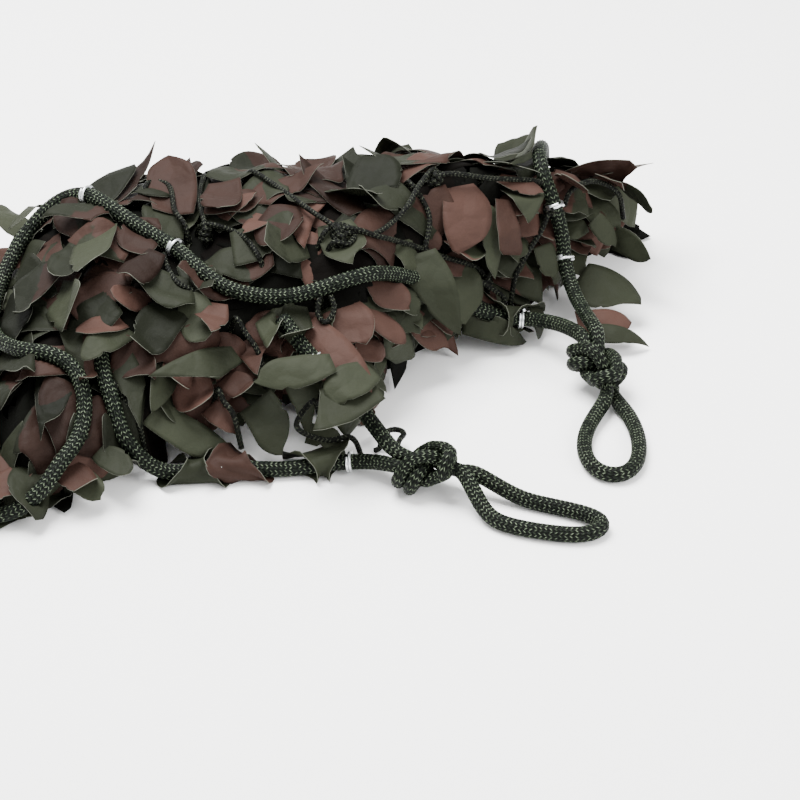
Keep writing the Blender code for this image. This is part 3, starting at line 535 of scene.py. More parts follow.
scene = bpy.context.scene
# Black between the picks is painted shade; the pale colour is a tracer and a painted highlight.
rope_braid = braid_material("braided_polyester", "#010201", "#090f08", "#555e4d", 0.62)
knot_strands = tied_knot()
rope_lines = {}
for corner, (route_in, route_out) in CORNERS.items():
    whole, swell, start, end = joined_at_knot(corner, knot_strands)
    rope_lines[f"corner_loop_{corner}"] = (whole, swell, start, end)
    rope_lines[f"border_rope_{route_in}"] = (whole, swell, 0, start)
    rope_lines[f"border_rope_{route_out}"] = (whole, swell, end, len(whole) - 1)
for node, (whole, swell, first, last) in rope_lines.items():
    rope = braided(f"braided_{node}", whole[first:last + 1], {
        "Sides": HIDDEN_SIDES if node.endswith("back") else SEEN_SIDES,
        "Start": first * FINE_SPACING * MM,
        "Material": rope_braid,
    }, swell[first:last + 1])
    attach(rope, "root")
    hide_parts(node)

# ---------------------------------------------------------------- wire rings
# Hog rings: short lengths of galvanised wire, closed with pliers round the rope, the net's
# edge cord and the cloth. The ends of each lie side by side.

RING_WIRE = 1.5
RINGS = (  # the rope that each one holds, and where, as x and y
    ("border_rope_top", -140, 118),
    ("border_rope_top", -92, 80),
    ("border_rope_top", 86, 115),
    ("border_rope_back", 104, 150),
    ("border_rope_back", 111, 141),
    ("border_rope_front", -66, -14),
    ("border_rope_front", -3, -8),
    ("border_rope_short", -20, 24),
    ("border_rope_back", -206, 60),
    ("border_rope_back", -70, 236),
)
RING_POINTS = 72
RING_TURN = 1.85  # turns of wire, side by side where they overlap
RING_BITE = 0.45  # from the rope's surface to the wire's middle, of the wire's thickness
RING_BESIDE = 6  # points of the rope's line to each side, which give its direction

# Hot-dip galvanised steel wire: bright, with patches of about 1 mm that shine a little unevenly.
zinc, zinc_tree, zinc_shader = new_material("galvanised_wire")
zinc_grain = add(zinc_tree, "ShaderNodeTexNoise", {
    "Vector": add(zinc_tree, "ShaderNodeTexCoord").outputs["Object"],
    "Scale": 900.0, "Detail": 3.0,
})
zinc_rough = add(zinc_tree, "ShaderNodeMapRange", {
    "Value": zinc_grain.outputs[0], "To Min": 0.22, "To Max": 0.45,
})
plug(zinc_tree, zinc_shader, {
    "Base Color": linear("#d3d6d6"), "Metallic": 1.0, "Roughness": zinc_rough.outputs[0],
})

for number, (rope, *near) in enumerate(RINGS, 1):
    whole, swell, first, last = rope_lines[rope]
    line = whole[first:last + 1]
    place = np.linalg.norm(line[:, :2] - near, axis=1).argmin()
    place = min(max(place, RING_BESIDE), len(line) - 1 - RING_BESIDE)
    forward = unit(line[place + RING_BESIDE] - line[place - RING_BESIDE])
    level = unit(np.cross(forward, (0, 0, 1)))
    upright = np.cross(level, forward)
    turns = np.linspace(-0.5, 0.5, RING_POINTS) * 2 * math.pi * RING_TURN
    reach = ROPE_THICK / 2 + RING_WIRE * RING_BITE
    ring_line = (line[place]
                 + reach * np.outer(np.cos(turns), upright)
                 + reach * np.outer(np.sin(turns), level)
                 + np.outer(turns / (2 * math.pi) * RING_WIRE, forward))
    ring_line[:, 2] = np.maximum(ring_line[:, 2], RING_WIRE / 2)
    ring = braided(f"wire_ring_{number}", ring_line, {
        "Thickness": RING_WIRE * MM, "Sides": 12, "Columns": 1, "Relief": 0.0,
        "Step": 0.5 * MM, "Material": zinc,
    })
    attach(ring, "root")
    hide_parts(f"ring_{number}")

# ---------------------------------------------------------------- folded cloth
# The net's cloth is one coated sheet with rows of arc-shaped slits. Bunched up, it lies in
# three layers on the floor, with its top layer gathered in hollows under the leaves.

CLOTH_THICK = 0.9
SECTIONS = (  # x, front, back, crest, top
    (-188, -6, 160, 84, 44),
    (-160, -42, 190, 104, 70),
    (-130, -24, 204, 114, 79),
    (-100, -4, 212, 118, 82),
    (-60, -2, 218, 122, 84),
    (-20, 2, 222, 124, 86),
    (8, 14, 224, 126, 87),
    (24, 60, 224, 132, 87),
    (44, 98, 224, 142, 86),
    (80, 116, 224, 154, 82),
    (108, 138, 222, 168, 74),
    (134, 160, 218, 180, 60),
    (156, 182, 210, 194, 34),
)
EDGE_HEIGHT = 19.0  # of the top layer, where it folds over the layers below
MIDDLE_HEIGHT = 12.0
MIDDLE_RISE = 0.4
FRONT_INSET = 7  # of the two lower layers, from the edges where the sheet turns back
BACK_INSET = 6
TOP_INSET = 5
BACK_TURN = ((-1, 4), (0, 9))  # the turns themselves, as y from the edge and height
FRONT_TURN = ((1, 13), (0, 17))
HEM_REACH = 8.0  # how far the top layer falls beyond the heap's back, and where it bends down
HEM_BEND = 0.7
HEM_HEIGHT = 3
RIPPLE = 3.2  # height of the broad swells in the top layer
FALL_OFF = 0.85  # power that rounds the heap from its crest to its edges
COLUMNS = 92
LAYER_POINTS = (("bottom", 20), ("middle", 20), ("top", 62))
BOTTOM_HEIGHT = 1
LOWEST = 0.8  # least height of a sheet's middle over the floor
BESIDE = 2  # how far to each side of a place its slope is read
# How far the sheet's edge is pulled up from the front of the heap, as x and distance. Only the
# net and single leaves hang below it there, so the floor shows between them.
PULLED_UP = (
    (-188, 4), (-104, 5), (-92, 26), (-76, 30), (-68, 40), (-54, 42), (-46, 50), (-20, 50),
    (-10, 40), (-2, 30), (6, 56), (14, 46), (24, 26), (44, 12), (64, 16), (80, 34), (98, 36),
    (108, 38), (120, 40), (134, 44), (146, 34), (156, 20),
)
SCALLOP = 3.0  # depth of the arcs that the cutter leaves along the edge
GATHER = 4.5  # depth of the hollows in the top layer
SLIT_APART = (27.0, 24.0)  # between slits along a row, and between rows
SLIT_SIZE = (9.5, 4.2)  # half the length and half the width of the gap that a slit leaves
UNSLIT = (2, 6, 2, 4)  # rows of faces without slits: at the front, back, left and right
CLOTH_CLEAR = 1.2  # from the rope's surface to the middle of the cloth
PRESS_ASIDE = 0.3  # share of the way out that is left sideways when a point is pressed down
PRINT_DEEP = 20.0  # deep inside a brown patch, or with a minus, far outside all of them
# Tone of the folded sheet within its near-black cloth, which is painted shade.
UNDER_SHADE = 0.3


def section_at(x):
    table = np.array(SECTIONS, float)
    return [np.interp(x, table[:, 0], table[:, k]) for k in range(1, 5)]


def height(x, y):
    """The top layer over the floor."""
    front, back, crest, top = section_at(x)
    share = np.where(y <= crest, (y - front) / (crest - front), (back - y) / (back - crest))
    share = np.clip(share, 0, 1)
    rise = (top - EDGE_HEIGHT) * np.sin(share * math.pi / 2) ** FALL_OFF
    ripple = np.sin(x / 17 + y / 29) + 0.7 * np.sin(x / 31 - y / 19)
    return EDGE_HEIGHT + rise + RIPPLE * ripple * np.minimum(1, share * 3)


def hollow(x, y):
    """How deep the top layer is gathered at a place, from 0 to GATHER."""
    folds = np.sin(x / 5.3 + 2.1 * np.sin(y / 17)) + np.sin(y / 6.1 + 1.7 * np.sin(x / 13))
    return GATHER * (0.5 + 0.25 * folds)


def normal_at(x, y):
    slope_x = (height(x + BESIDE, y) - height(x - BESIDE, y)) / (2 * BESIDE)
    slope_y = (height(x, y + BESIDE) - height(x, y - BESIDE)) / (2 * BESIDE)
    return unit(np.array([-slope_x, -slope_y, 1]))


def pulled_up(x):
    return np.interp(x, *np.transpose(PULLED_UP))


def layer_lines(x):
    """The folded sheet's line at one place across the heap, from its lowest layer up."""
    front, back, _, _ = section_at(x)
    front += pulled_up(x) + SCALLOP * abs(math.sin(x / 6))
    back -= SCALLOP * abs(math.sin(x / 5))
    line = []
    for layer, count in LAYER_POINTS:
        if layer == "bottom":
            for y in np.linspace(front + FRONT_INSET, back - BACK_INSET, count):
                line.append((x, y, BOTTOM_HEIGHT))
            line += [(x, back + out, z) for out, z in BACK_TURN]
        elif layer == "middle":
            for y in np.linspace(back - BACK_INSET, front + FRONT_INSET, count):
                above = max(0, height(x, y) - EDGE_HEIGHT)
                line.append((x, y, MIDDLE_HEIGHT + MIDDLE_RISE * above))
            line += [(x, front + out, z) for out, z in FRONT_TURN]
        else:
            for y in np.linspace(front + TOP_INSET, back, count):
                line.append((x, y, height(x, y) - hollow(x, y)))
            line.append((x, back + HEM_REACH * HEM_BEND, EDGE_HEIGHT / 2))
            line.append((x, back + HEM_REACH, HEM_HEIGHT))
    return line


def tree_through(lines):
    """A tree that finds the nearest point of any of the lines."""
    points = np.vstack(lines)
    tree = KDTree(len(points))
    for index, point in enumerate(points):
        tree.insert(point, index)
    tree.balance()
    return tree


rope_tree = tree_through([rope_lines[f"corner_loop_{corner}"][0] for corner in CORNERS])


def pressed(points, clearance, downwards=False):
    """The points, with those that are inside the rope moved out to its surface."""
    moved = points.copy()
    for k, point in enumerate(points):
        near, _, distance = rope_tree.find(point)
        if distance < clearance:
            away = point - np.array(near)
            if downwards:
                away = np.array([away[0] * PRESS_ASIDE, away[1] * PRESS_ASIDE,
                                 -max(1.0, abs(away[2]))])
            moved[k] = np.array(near) + unit(away) * clearance
    return moved


def sheet_material(name, tones, roughness, sheen):
    """Coated polyester cloth, printed olive and brown: matt with a faint sheen, creased finely.

    The attribute brown says how far a point lies inside a brown patch, in millimetres, and
    shade moves a leaf from its dark tone to its light one: at random, and kept low for leaves deep
    in the heap, as painted shade.
    """
    material, tree, shader = new_material(name)
    place = add(tree, "ShaderNodeTexCoord").outputs["Object"]
    waver = add(tree, "ShaderNodeTexNoise", {"Vector": place, "Scale": 90.0, "Detail": 2.0})
    inside = add(tree, "ShaderNodeAttribute", attribute_name="brown").outputs["Fac"]
    shade = add(tree, "ShaderNodeAttribute", attribute_name="shade").outputs["Fac"]
    wavered = add(tree, "ShaderNodeMath", {0: waver.outputs[0], 1: 8.0, 2: inside},
                  operation="MULTIPLY_ADD")
    edge = add(tree, "ShaderNodeMapRange", {
        "Value": wavered.outputs[0], "From Min": 3.7, "From Max": 4.3,
    })
    olive_dark, olive, brown_dark, brown = (linear(code) for code in tones)
    on_olive, on_brown = (
        add(tree, "ShaderNodeMix", {"Factor": shade, MIX_A: dark, MIX_B: light},
            data_type="RGBA").outputs[MIX_OUT]
        for dark, light in ((olive_dark, olive), (brown_dark, brown))
    )
    printed = add(tree, "ShaderNodeMix",
                  {"Factor": edge.outputs[0], MIX_A: on_olive, MIX_B: on_brown},
                  data_type="RGBA")
    blotch = add(tree, "ShaderNodeTexNoise", {"Vector": place, "Scale": 45.0, "Detail": 3.0})
    worn = add(tree, "ShaderNodeMapRange", {
        "Value": blotch.outputs[0], "From Min": 0.3, "From Max": 0.7,
        "To Min": 0.93, "To Max": 1.05,
    })
    toned = add(tree, "ShaderNodeVectorMath",
                {0: printed.outputs[MIX_OUT], "Scale": worn.outputs[0]}, operation="SCALE")
    # Soft creases some 14 mm apart where the cloth has been folded and crushed, sharp ones 9 mm
    # apart, and the weave under the coating, 0.7 mm instead of 0.3 mm because that wouldn't show.
    crush = add(tree, "ShaderNodeTexNoise", {"Vector": place, "Scale": 70.0, "Detail": 3.0})
    sharp = add(tree, "ShaderNodeTexVoronoi",
                {"Vector": place, "Scale": 110.0, "Smoothness": 0.15}, feature="SMOOTH_F1")
    weave = add(tree, "ShaderNodeTexNoise", {"Vector": place, "Scale": 1500.0, "Detail": 1.0})
    creased = add(tree, "ShaderNodeMath", {0: sharp.outputs[0], 1: -0.6, 2: crush.outputs[0]},
                  operation="MULTIPLY_ADD")
    relief = add(tree, "ShaderNodeMath", {0: weave.outputs[0], 1: 0.08, 2: creased.outputs[0]},
                 operation="MULTIPLY_ADD")
    bump = add(tree, "ShaderNodeBump", {
        "Height": relief.outputs[0], "Strength": 0.6, "Distance": 2.8 * MM,
    })
    plug(tree, shader, {
        "Base Color": toned.outputs[0], "Normal": bump.outputs[0],
        "Roughness": roughness, "Specular IOR Level": sheen,
    })
    return material


# Tones: olive in its darkest and lightest shade, then brown. The sheet itself and the leaves just
# over it lie under the others; their near-black tones are painted shade.
coated_cloth = sheet_material(
    "coated_polyester", ("#080a04", "#282b20", "#120905", "#3c2a24"), 0.65, 0.08)
shaded_cloth = sheet_material(
    "coated_polyester_painted_shade", ("#030302", "#060704", "#040302", "#0a0705"), 0.9, 0.05)
# The cutter bares pale yarn along each edge.
cut_edge, edge_tree, edge_shader = new_material("cut_cloth_edge")
plug(edge_tree, edge_shader, {"Base Color": linear("#484a40"), "Roughness": 0.8})


def cloth_piece(name, points, quads, brown, shade, thickness, materials):
    """A sheet through the points, with its print's attributes, given its thickness."""
    mesh = bpy.data.meshes.new(name)
    mesh.from_pydata(world(points).tolist(), [], quads)
    for key, values in (("brown", brown), ("shade", shade)):
        mesh.attributes.new(key, "FLOAT", "POINT").data.foreach_set("value", values)
    for material in materials:
        mesh.materials.append(material)
    mesh.shade_smooth()
    piece = bpy.data.objects.new(name, mesh)
    scene.collection.objects.link(piece)
    modifier = piece.modifiers.new("thickness", "SOLIDIFY")
    modifier.thickness = thickness * MM
    modifier.offset = 0
    modifier.material_offset_rim = len(materials) - 1
    return piece


grid = np.array([
    layer_lines(x) for x in np.linspace(SECTIONS[0][0], SECTIONS[-1][0], COLUMNS + 1)
])
columns, rows = grid.shape[:2]
cloth_points = grid.reshape(-1, 3)
top_first = rows - LAYER_POINTS[2][1] - 2
upper = np.arange(len(cloth_points)) % rows >= top_first
cloth_points[upper] = pressed(cloth_points[upper], ROPE_THICK / 2 + CLOTH_CLEAR, True)
cloth_points[:, 2] = np.maximum(cloth_points[:, 2], LOWEST)
flat_along = np.concatenate([np.zeros((columns, 1)),
                             np.cumsum(np.linalg.norm(np.diff(grid, axis=1), axis=2), axis=1)],
                            axis=1)
cloth_quads = []
for i in range(columns - 1):
    for j in range(rows - 1):
        x = grid[i:i + 2, j, 0].mean()
        v = flat_along[i:i + 2, j:j + 2].mean()
        line_of_slits = round(v / SLIT_APART[1])
        stagger = 0.5 * (line_of_slits % 2)
        u = (x / SLIT_APART[0] + stagger) % 1 - 0.5
        du = u * SLIT_APART[0] / SLIT_SIZE[0]
        dv = (v / SLIT_APART[1] - line_of_slits) * SLIT_APART[1] / SLIT_SIZE[1]
        on_top = (top_first + UNSLIT[0] < j < rows - UNSLIT[1]
                  and UNSLIT[2] < i < columns - UNSLIT[3])
        if on_top and du ** 2 + dv ** 2 < 1:
            continue
        corner = i * rows + j
        cloth_quads.append((corner, corner + 1, corner + rows + 1, corner + rows))
# The folded sheet takes the near-black cloth throughout: painted shade, as it is seen only deep
# between the leaves.
folded = cloth_piece("folded_cloth", cloth_points, cloth_quads,
                     np.full(len(cloth_points), -PRINT_DEEP),
                     np.full(len(cloth_points), UNDER_SHADE), CLOTH_THICK, [shaded_cloth])
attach(folded, "root")
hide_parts("garnish")

# ---------------------------------------------------------------- netting
# The net that carries the cloth: thin braided cord, near black, with knots where it crosses. Most
# of it lies just under the top layer, and loose stretches run over the leaves.

CORD_THICK = 2.8
CORD_SPACING = 1.5  # between the points of a loose cord's line
CORD_LEAD = (6, 14)  # how far its ends are led on, and down under the leaves
NET_DROP = 4.4  # of the cords under the cloth
NET_COLUMNS = 14
NET_ROWS = 9
NET_SHARES = (0.06, 0.97)  # of the way from front to back, for the first and the last row
NET_INSET = 5  # from the cloth's left and right edges
NET_FRONTS = (6, 3)  # from its front edge, for the columns and the rows
NET_STEP = 5.0  # between the points of a cord's line
LOOSE_CORDS = (  # each one's places as x, y and height
    ((-81, 146, 84), (-82, 120, 84), (-78, 97, 82)),
    ((-111, 125, 87), (-107, 134, 87), (-98, 128, 87), (-94, 108, 84), (-88, 98, 80)),
    ((-56, 135, 92), (-43, 119, 93), (-24, 94, 92), (-10, 80, 88)),
    ((40, 136, 93), (32, 122, 91), (24, 106, 85), (10, 88, 82), (-6, 80, 86)),
    ((-6, 82, 88), (12, 84, 82), (27, 97, 70), (43, 108, 57), (64, 116, 44)),
    ((44, 132, 92), (69, 139, 86), (98, 152, 76)),
    ((113, 158, 68), (126, 169, 68), (140, 178, 56)),
    ((-21, 8, 32), (-29, -3, 24), (-15, -3, 16), (-2, 2, 14)),
    ((102, 148, 62), (97, 140, 54), (89, 130, 45), (83, 122, 36)),
    ((-120, 7, 44), (-115, 3, 39), (-107, -4, 28)),
    ((-60, 41, 60), (-55, 35, 55), (-48, 27, 47)),
    ((-68, 11, 37), (-65, 6, 33), (-60, 1, 28)),
    ((63, 112, 39), (70, 114, 34), (77, 115, 27), (74, 113, 23), (65, 110, 27), (62, 110, 34)),
    ((-17, 79, 86), (-9, 86, 88), (-1, 83, 85), (-4, 75, 83), (-12, 74, 84)),
    ((14, 13, 8), (19, 17, 9), (24, 15, 8), (21, 7, 7)),
    ((-98, 76, 76), (-95, 66, 74), (-89, 56, 71), (-80, 51, 68)),
    ((-18, 50, 67), (-19, 43, 61), (-15, 40, 58), (-11, 45, 62), (-13, 51, 67)),
    ((-79, 98, 81), (-60, 87, 82), (-49, 70, 78)),
    ((27, 127, 90), (37, 114, 78), (35, 102, 64)),
)
KNOT_TURNS = 2.5  # of one cord round another
KNOT_POINTS = 40
KNOT_BITE = 0.85  # from the cord's middle to that of its turns, of its thickness
KNOT_PITCH = 0.95  # from one turn to the next, of its thickness
KNOT_FROM_END = 7  # points from the end of a cord's line
KNOT_UP = (0.3, 0.2, 1)


def dipped(route):
    """The route with both its ends led down under the leaves."""
    route = np.array(route, float)
    on, down = CORD_LEAD
    first = route[0] + on * unit(route[0] - route[1]) - (0, 0, down)
    last = route[-1] + on * unit(route[-1] - route[-2]) - (0, 0, down)
    return np.vstack([first, route, last])


cord_lines = [smooth_line(dipped(route), CORD_SPACING, CORD_THICK / 2) for route in LOOSE_CORDS]
cord_tree = tree_through(cord_lines)


def under_cloth(places):
    """A cord's line under the top layer, above each of the places."""
    line = []
    for x, y in places:
        point = np.array([x, y, height(x, y) - hollow(x, y)]) - normal_at(x, y) * NET_DROP
        line.append(np.maximum(point, (-math.inf, -math.inf, CORD_THICK)))
    return np.array(line)


def wound(centre, forward):
    """A cord's turns round another one, drawn tight."""
    angle = np.linspace(0, KNOT_TURNS * 2 * math.pi, KNOT_POINTS)
    side = unit(np.cross(forward, KNOT_UP))
    up = np.cross(side, forward)
    reach = CORD_THICK * KNOT_BITE
    along = (angle / (2 * math.pi) - KNOT_TURNS / 2) * CORD_THICK * KNOT_PITCH
    return (centre + np.outer(along, forward) + reach * np.outer(np.cos(angle), side)
            + reach * np.outer(np.sin(angle), up))


# Black between the picks is painted shade; the pale colour is a tracer and a painted highlight.
cord_braid = braid_material("braided_netting_cord", "#010201", "#060704", "#42463a", 0.55)
cord_settings = {
    "Thickness": CORD_THICK * MM, "Columns": 8, "Sides": 20, "Pick length": 2.0 * MM,
    "Relief": 0.3 * MM, "Step": 0.6 * MM, "Material": cord_braid,
}
knots = []
for number, line in enumerate(cord_lines):
    others = np.vstack(cord_lines[:number] + cord_lines[number + 1:])
    for place in (KNOT_FROM_END, len(line) - 1 - KNOT_FROM_END):
        if np.linalg.norm(others - line[place], axis=1).min() < 2 * CORD_THICK:
            knots.append(wound(line[place], unit(line[place + 2] - line[place - 2])))
hidden = []
first, last = SECTIONS[0][0] + NET_INSET, SECTIONS[-1][0] - NET_INSET
for x in np.linspace(first, last, NET_COLUMNS):
    front, back, _, _ = section_at(x)
    nearest = front + pulled_up(x) + NET_FRONTS[0]
    hidden.append(under_cloth([(x, y) for y in np.arange(nearest, back, NET_STEP)]))
for share in np.linspace(*NET_SHARES, NET_ROWS):
    places = []
    for x in np.arange(first, last, NET_STEP):
        front, back, _, _ = section_at(x)
        front += pulled_up(x) + NET_FRONTS[1]
        places.append((x, front + share * (back - front)))
    hidden.append(under_cloth(places))
for name, lines, settings in (
    ("loose_cords", cord_lines, cord_settings),
    ("cord_knots", knots, cord_settings),
    ("cords_under_cloth", hidden, {**cord_settings, "Sides": 8, "Relief": 0.0, "Step": 3.0 * MM}),
):
    cords = braided(name, lines, settings)
    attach(cords, "root")
    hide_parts("netting")

# ---------------------------------------------------------------- leaves
# The cut tongues of the same cloth. Pulled wide, the sheet throws each one out of its plane, so
# it stands up from its root, curls and shows its back. Edges are sharp arcs from the cutter.

LEAF_THICK = 0.3
LEAVES = (  # x, y, heading, length, width, rise, o olive, b brown or m both, and its cut
    (-120, 136, -95, 34, 21, -5, "o", "r"),
    (-88, 138, -80, 46, 15, 0, "o", "s"),
    (-79, 113, -70, 56, 24, 0, "b", "f"),
    (-76, 104, 35, 29, 16, 35, "b", "t"),
    (-158, 100, -80, 42, 13, -5, "b", "s"),
    (-151, 96, -45, 62, 12, -5, "o", "s"),
    (-134, 94, -85, 46, 22, 0, "o", "t"),
    (-110, 68, 140, 27, 15, 20, "b", "t"),
    (-155, 65, -55, 48, 24, 10, "o", "f"),
    (-102, 49, -165, 24, 13, 25, "b", "t"),
    (-115, 36, -135, 27, 11, 5, "b", "t"),
    (-114, 34, -125, 35, 16, -5, "o", "t"),
    (-102, 49, -75, 30, 10, -20, "o", "s"),
    (-93, 69, -75, 48, 25, -10, "o", "r"),
    (-38, 132, -60, 46, 21, 5, "b", "f"),
    (-12, 124, -95, 46, 25, 10, "b", "f"),
    (-10, 128, -45, 42, 16, 5, "o", "t"),
    (-41, 111, -110, 33, 12, 0, "b", "t"),
    (-25, 76, -155, 27, 20, 15, "o", "f"),
    (-44, 71, -55, 27, 12, 0, "b", "r"),
    (-26, 95, -75, 34, 11, -5, "b", "s"),
    (18, 97, -25, 24, 20, -20, "o", "f"),
    (28, 114, -35, 26, 14, -30, "b", "t"),
    (51, 134, -65, 36, 22, -35, "b", "r"),
    (73, 134, -110, 34, 11, -35, "o", "s"),
    (77, 138, -85, 31, 12, -40, "b", "f"),
    (51, 117, -25, 24, 15, -45, "b", "t"),
    (74, 147, -15, 24, 11, -20, "b", "t"),
    (111, 172, -85, 30, 15, -5, "b", "r"),
    (130, 180, -60, 24, 15, 0, "b", "f"),
    (143, 188, -70, 26, 14, 10, "m", "t"),
    (127, 163, -25, 18, 10, -40, "o", "t"),
    (99, 141, -55, 18, 12, -55, "o", "t"),
    (118, 147, -35, 33, 22, -10, "o", "r"),
    (138, 168, -35, 26, 12, 5, "o", "t"),
    (55, 104, 10, 35, 13, -10, "o", "s"),
    (94, 128, -80, 33, 11, -20, "o", "t"),
    (-8, 52, 35, 62, 12, -15, "o", "s"),
    (43, 105, -90, 32, 21, -50, "o", "t"),
    (25, 79, 10, 31, 15, -60, "b", "t"),
    (22, 72, -80, 24, 26, -50, "o", "r"),
    (-8, 51, -60, 24, 19, -20, "b", "r"),
    (-28, 42, -50, 44, 25, -20, "b", "f"),
    (-47, 47, -55, 30, 16, 0, "o", "r"),
    (-121, 27, -60, 45, 14, -25, "o", "s"),
    (-101, 4, -25, 44, 14, -30, "o", "s"),
    (-60, 31, -135, 34, 16, 5, "o", "f"),
    (-82, 23, -80, 43, 20, -30, "b", "t"),
    (-65, 20, -45, 22, 12, -10, "b", "t"),
    (-72, 10, -45, 23, 11, -15, "b", "t"),
    (-120, -9, -125, 31, 21, -10, "b", "f"),
    (-138, -29, -50, 22, 13, -30, "o", "t"),
    (-50, 11, -45, 29, 18, -25, "o", "t"),
    (-33, 26, -45, 30, 18, -10, "o", "f"),
    (-15, 14, -10, 29, 18, -25, "o", "f"),
    (-24, 4, -5, 29, 9, -5, "o", "s"),
)
# Leaves that lie over a rope, beside a knot or on other leaves: x, y, z of the root, then as above.
OVER_ROPE = (
    (-11, 11, 53, -163, 39, 20, -10, "o", "t"),
    (8, 14, 47, -135, 30, 19, -8, "o", "r"),
    (11, 4, 42, -150, 35, 22, -12, "o", "f"),
    (-36, 84, 83, -42, 28, 19, -18, "b", "f"),
    (-12, 89, 87, -75, 28, 18, -24, "o", "r"),
    (-84, 50, 69, -62, 29, 19, -26, "o", "r"),
    (-69, 45, 66, -100, 24, 17, -28, "b", "f"),
    (32, 97, 65, -64, 48, 24, -42, "o", "p"),
    (50, 112, 46, -50, 27, 17, -35, "o", "r"),
    (116, 108, 15, 14, 30, 15, -4, "b", "t"),
    (118, 103, 10, 10, 38, 12, 3, "o", "p"),
)
# Each cut: the width at the root, where the leaf is widest, how its sides close, the width at
# its tip, all as shares, and how far the root can differ from one leaf to the next.
CUTS = {
    "t": (0.75, 0.5, 0.6, 0.1, 0.2),
    "f": (0.5, 0.8, 0.5, 0.8, 0.15),
    "r": (0.65, 0.55, 0.5, 0.3, 0.15),
    "s": (0.9, 0.5, 0.65, 0.6, 0.1),
    "p": (0.8, 0.35, 1.0, 0.04, 0.2),
}
MORE_LEAVES = 42
MORE_APART = 13  # between the root of one of them and any other
MORE_LENGTH = (28.0, 44.0)
MORE_WIDTH = (13.0, 24.0)
NEAR_EDGE = 30  # how near the heap's edge a leaf points outwards and down
EDGE_SPREAD, INNER_SPREAD = 50, 180  # degrees to each side of outwards
EDGE_RISE, INNER_RISE = (-30, 15), (-10, 20)
EDGE_APART = 8.0  # between the roots of the leaves that hang from the heap's edge
EDGE_LENGTH = (22.0, 33.0)
EDGE_WIDTH = (16.0, 25.0)
EDGE_TIER = 12.0  # height between two rows of them
EDGE_LOOSE = 3  # how far their roots stray from the row
HANG_SPREAD = 40
HANG_ROLL = 20
HANG_RISE = (-60, -10)
STATIONS = 15  # points along a leaf
ACROSS = 9
LEAF_SWEEP = 0.22  # how far a leaf's tip is swept sideways, of its length
LEAF_ROLL = 28  # degrees to each side
WIDER = 1.2  # how much wider a leaf is than its row says, and than the rows over a rope say
WIDER_OVER = 1.15
# How often a leaf of a row, one over a rope and one that hangs is laid anew, how faulty a leaf
# without a place of its own may be, and after how many attempts one is set lower: its root, its
# rise and its length, and the faults that this counts as.
ROW_ATTEMPTS, OVER_ATTEMPTS, HANG_ATTEMPTS = 16, 8, 6
ROW_WORST, HANG_WORST = 150, 40
LOWER_AFTER = 4
LOWER = (2.0, 5, 0.12)
HANDICAP = 2
OVER_FACE = (0, -0.5, 0.87)  # the way that a leaf over a rope faces
FOLD_WIDTH = 0.06  # of a crease, of the leaf's length
EDGE_FALL = 2.2  # how steeply cloth falls beyond the heap's edge
SLOPE_REACH = 8  # how far to each side of a leaf's root its slope is read
LEAF_CLEAR = 0.9  # from the rope's surface to the middle of a leaf
ROOT_CLEAR = 0.3  # from the cloth to a leaf's root
BEHIND_CREST = 25  # from where leaves belong to the piece behind
LEFT_PIECE, MIDDLE_PIECE = -105, 0  # where, along X, the pieces in front end
# Tones of the leaves: those laid on the heap among the others take the darker range as painted
# shade; the rest vary at random.
DEEP_PAINTED_SHADE, LEAF_SHADE = (0, 0.5), (0.35, 1)
# How low the cloth may be seen from the watched side: along X, height above a line of sight
# through the tables' zero.
SEEN_EDGE = (
    (-190, -48), (-157, -27), (-127, -9), (-102, -4), (-96, 10), (-81, 16), (-60, 18), (-50, 30),
    (-20, 30), (-14, 16), (11, 8), (15, 56), (41, 57), (50, 60), (58, 74), (84, 82), (99, 87),
    (115, 96), (125, 104), (133, 114), (146, 126), (156, 134), (175, 140),
)
HIGHEST = 107.0
FURTHEST_RIGHT = 173.0
DRAWN_IN = 250.0  # tips that reach further back than this are shortened by half of what is beyond
TONES = ("o", "b", "o", "b", "o", "m")
WATCHED = math.radians(33)  # how steeply the open stretches of rope and cord are looked down on
WATCHED_BACK = 30  # how far behind the crest they are looked at from the back
OPEN_STRETCHES = (  # the shares of each rope between which it lies open and no leaf covers it
    ("border_rope_top", 0, 0.05),
    ("border_rope_top", 0.18, 0.86),
    ("border_rope_back", 0.03, 1),
    ("border_rope_short", 0, 0.3),
    ("border_rope_front", 0, 1),
    ("corner_loop_front", 0, 1),
    ("corner_loop_side", 0, 1),
)
# What each fault counts: a point of a leaf in a rope or cord, one that is seen too low, an open
# point of rope, of cord or of another leaf that is covered, and a leaf that reaches too far.
HITS, TOO_LOW, COVERS_ROPE, COVERS_CORD, COVERS_LEAF, TOO_FAR = 4, 6, 100, 12, 4, 40
MAY_BE_LOW = 6  # points of a leaf
LEAF_POINT = 0.5  # radius that an open point of a leaf counts with
# Layers of leaves that lie on the heap: apart, lengths, widths, heights over the cloth, how
# faulty one may be, attempts, how far from the cloth's edge, and whether it is the lower layer.
LAYERS = (
    (17.0, (32.0, 46.0), (26.0, 36.0), (0.4, 1.5), 400, 4, 17, True),
    (13.5, (28.0, 42.0), (20.0, 30.0), (3.0, 9.0), 75, 9, 2, False),
)
TRIED = 7000  # places in each layer
STEEP, STEEP_SPREAD = 0.93, 75  # where the cloth is steeper, leaves point nearly downhill


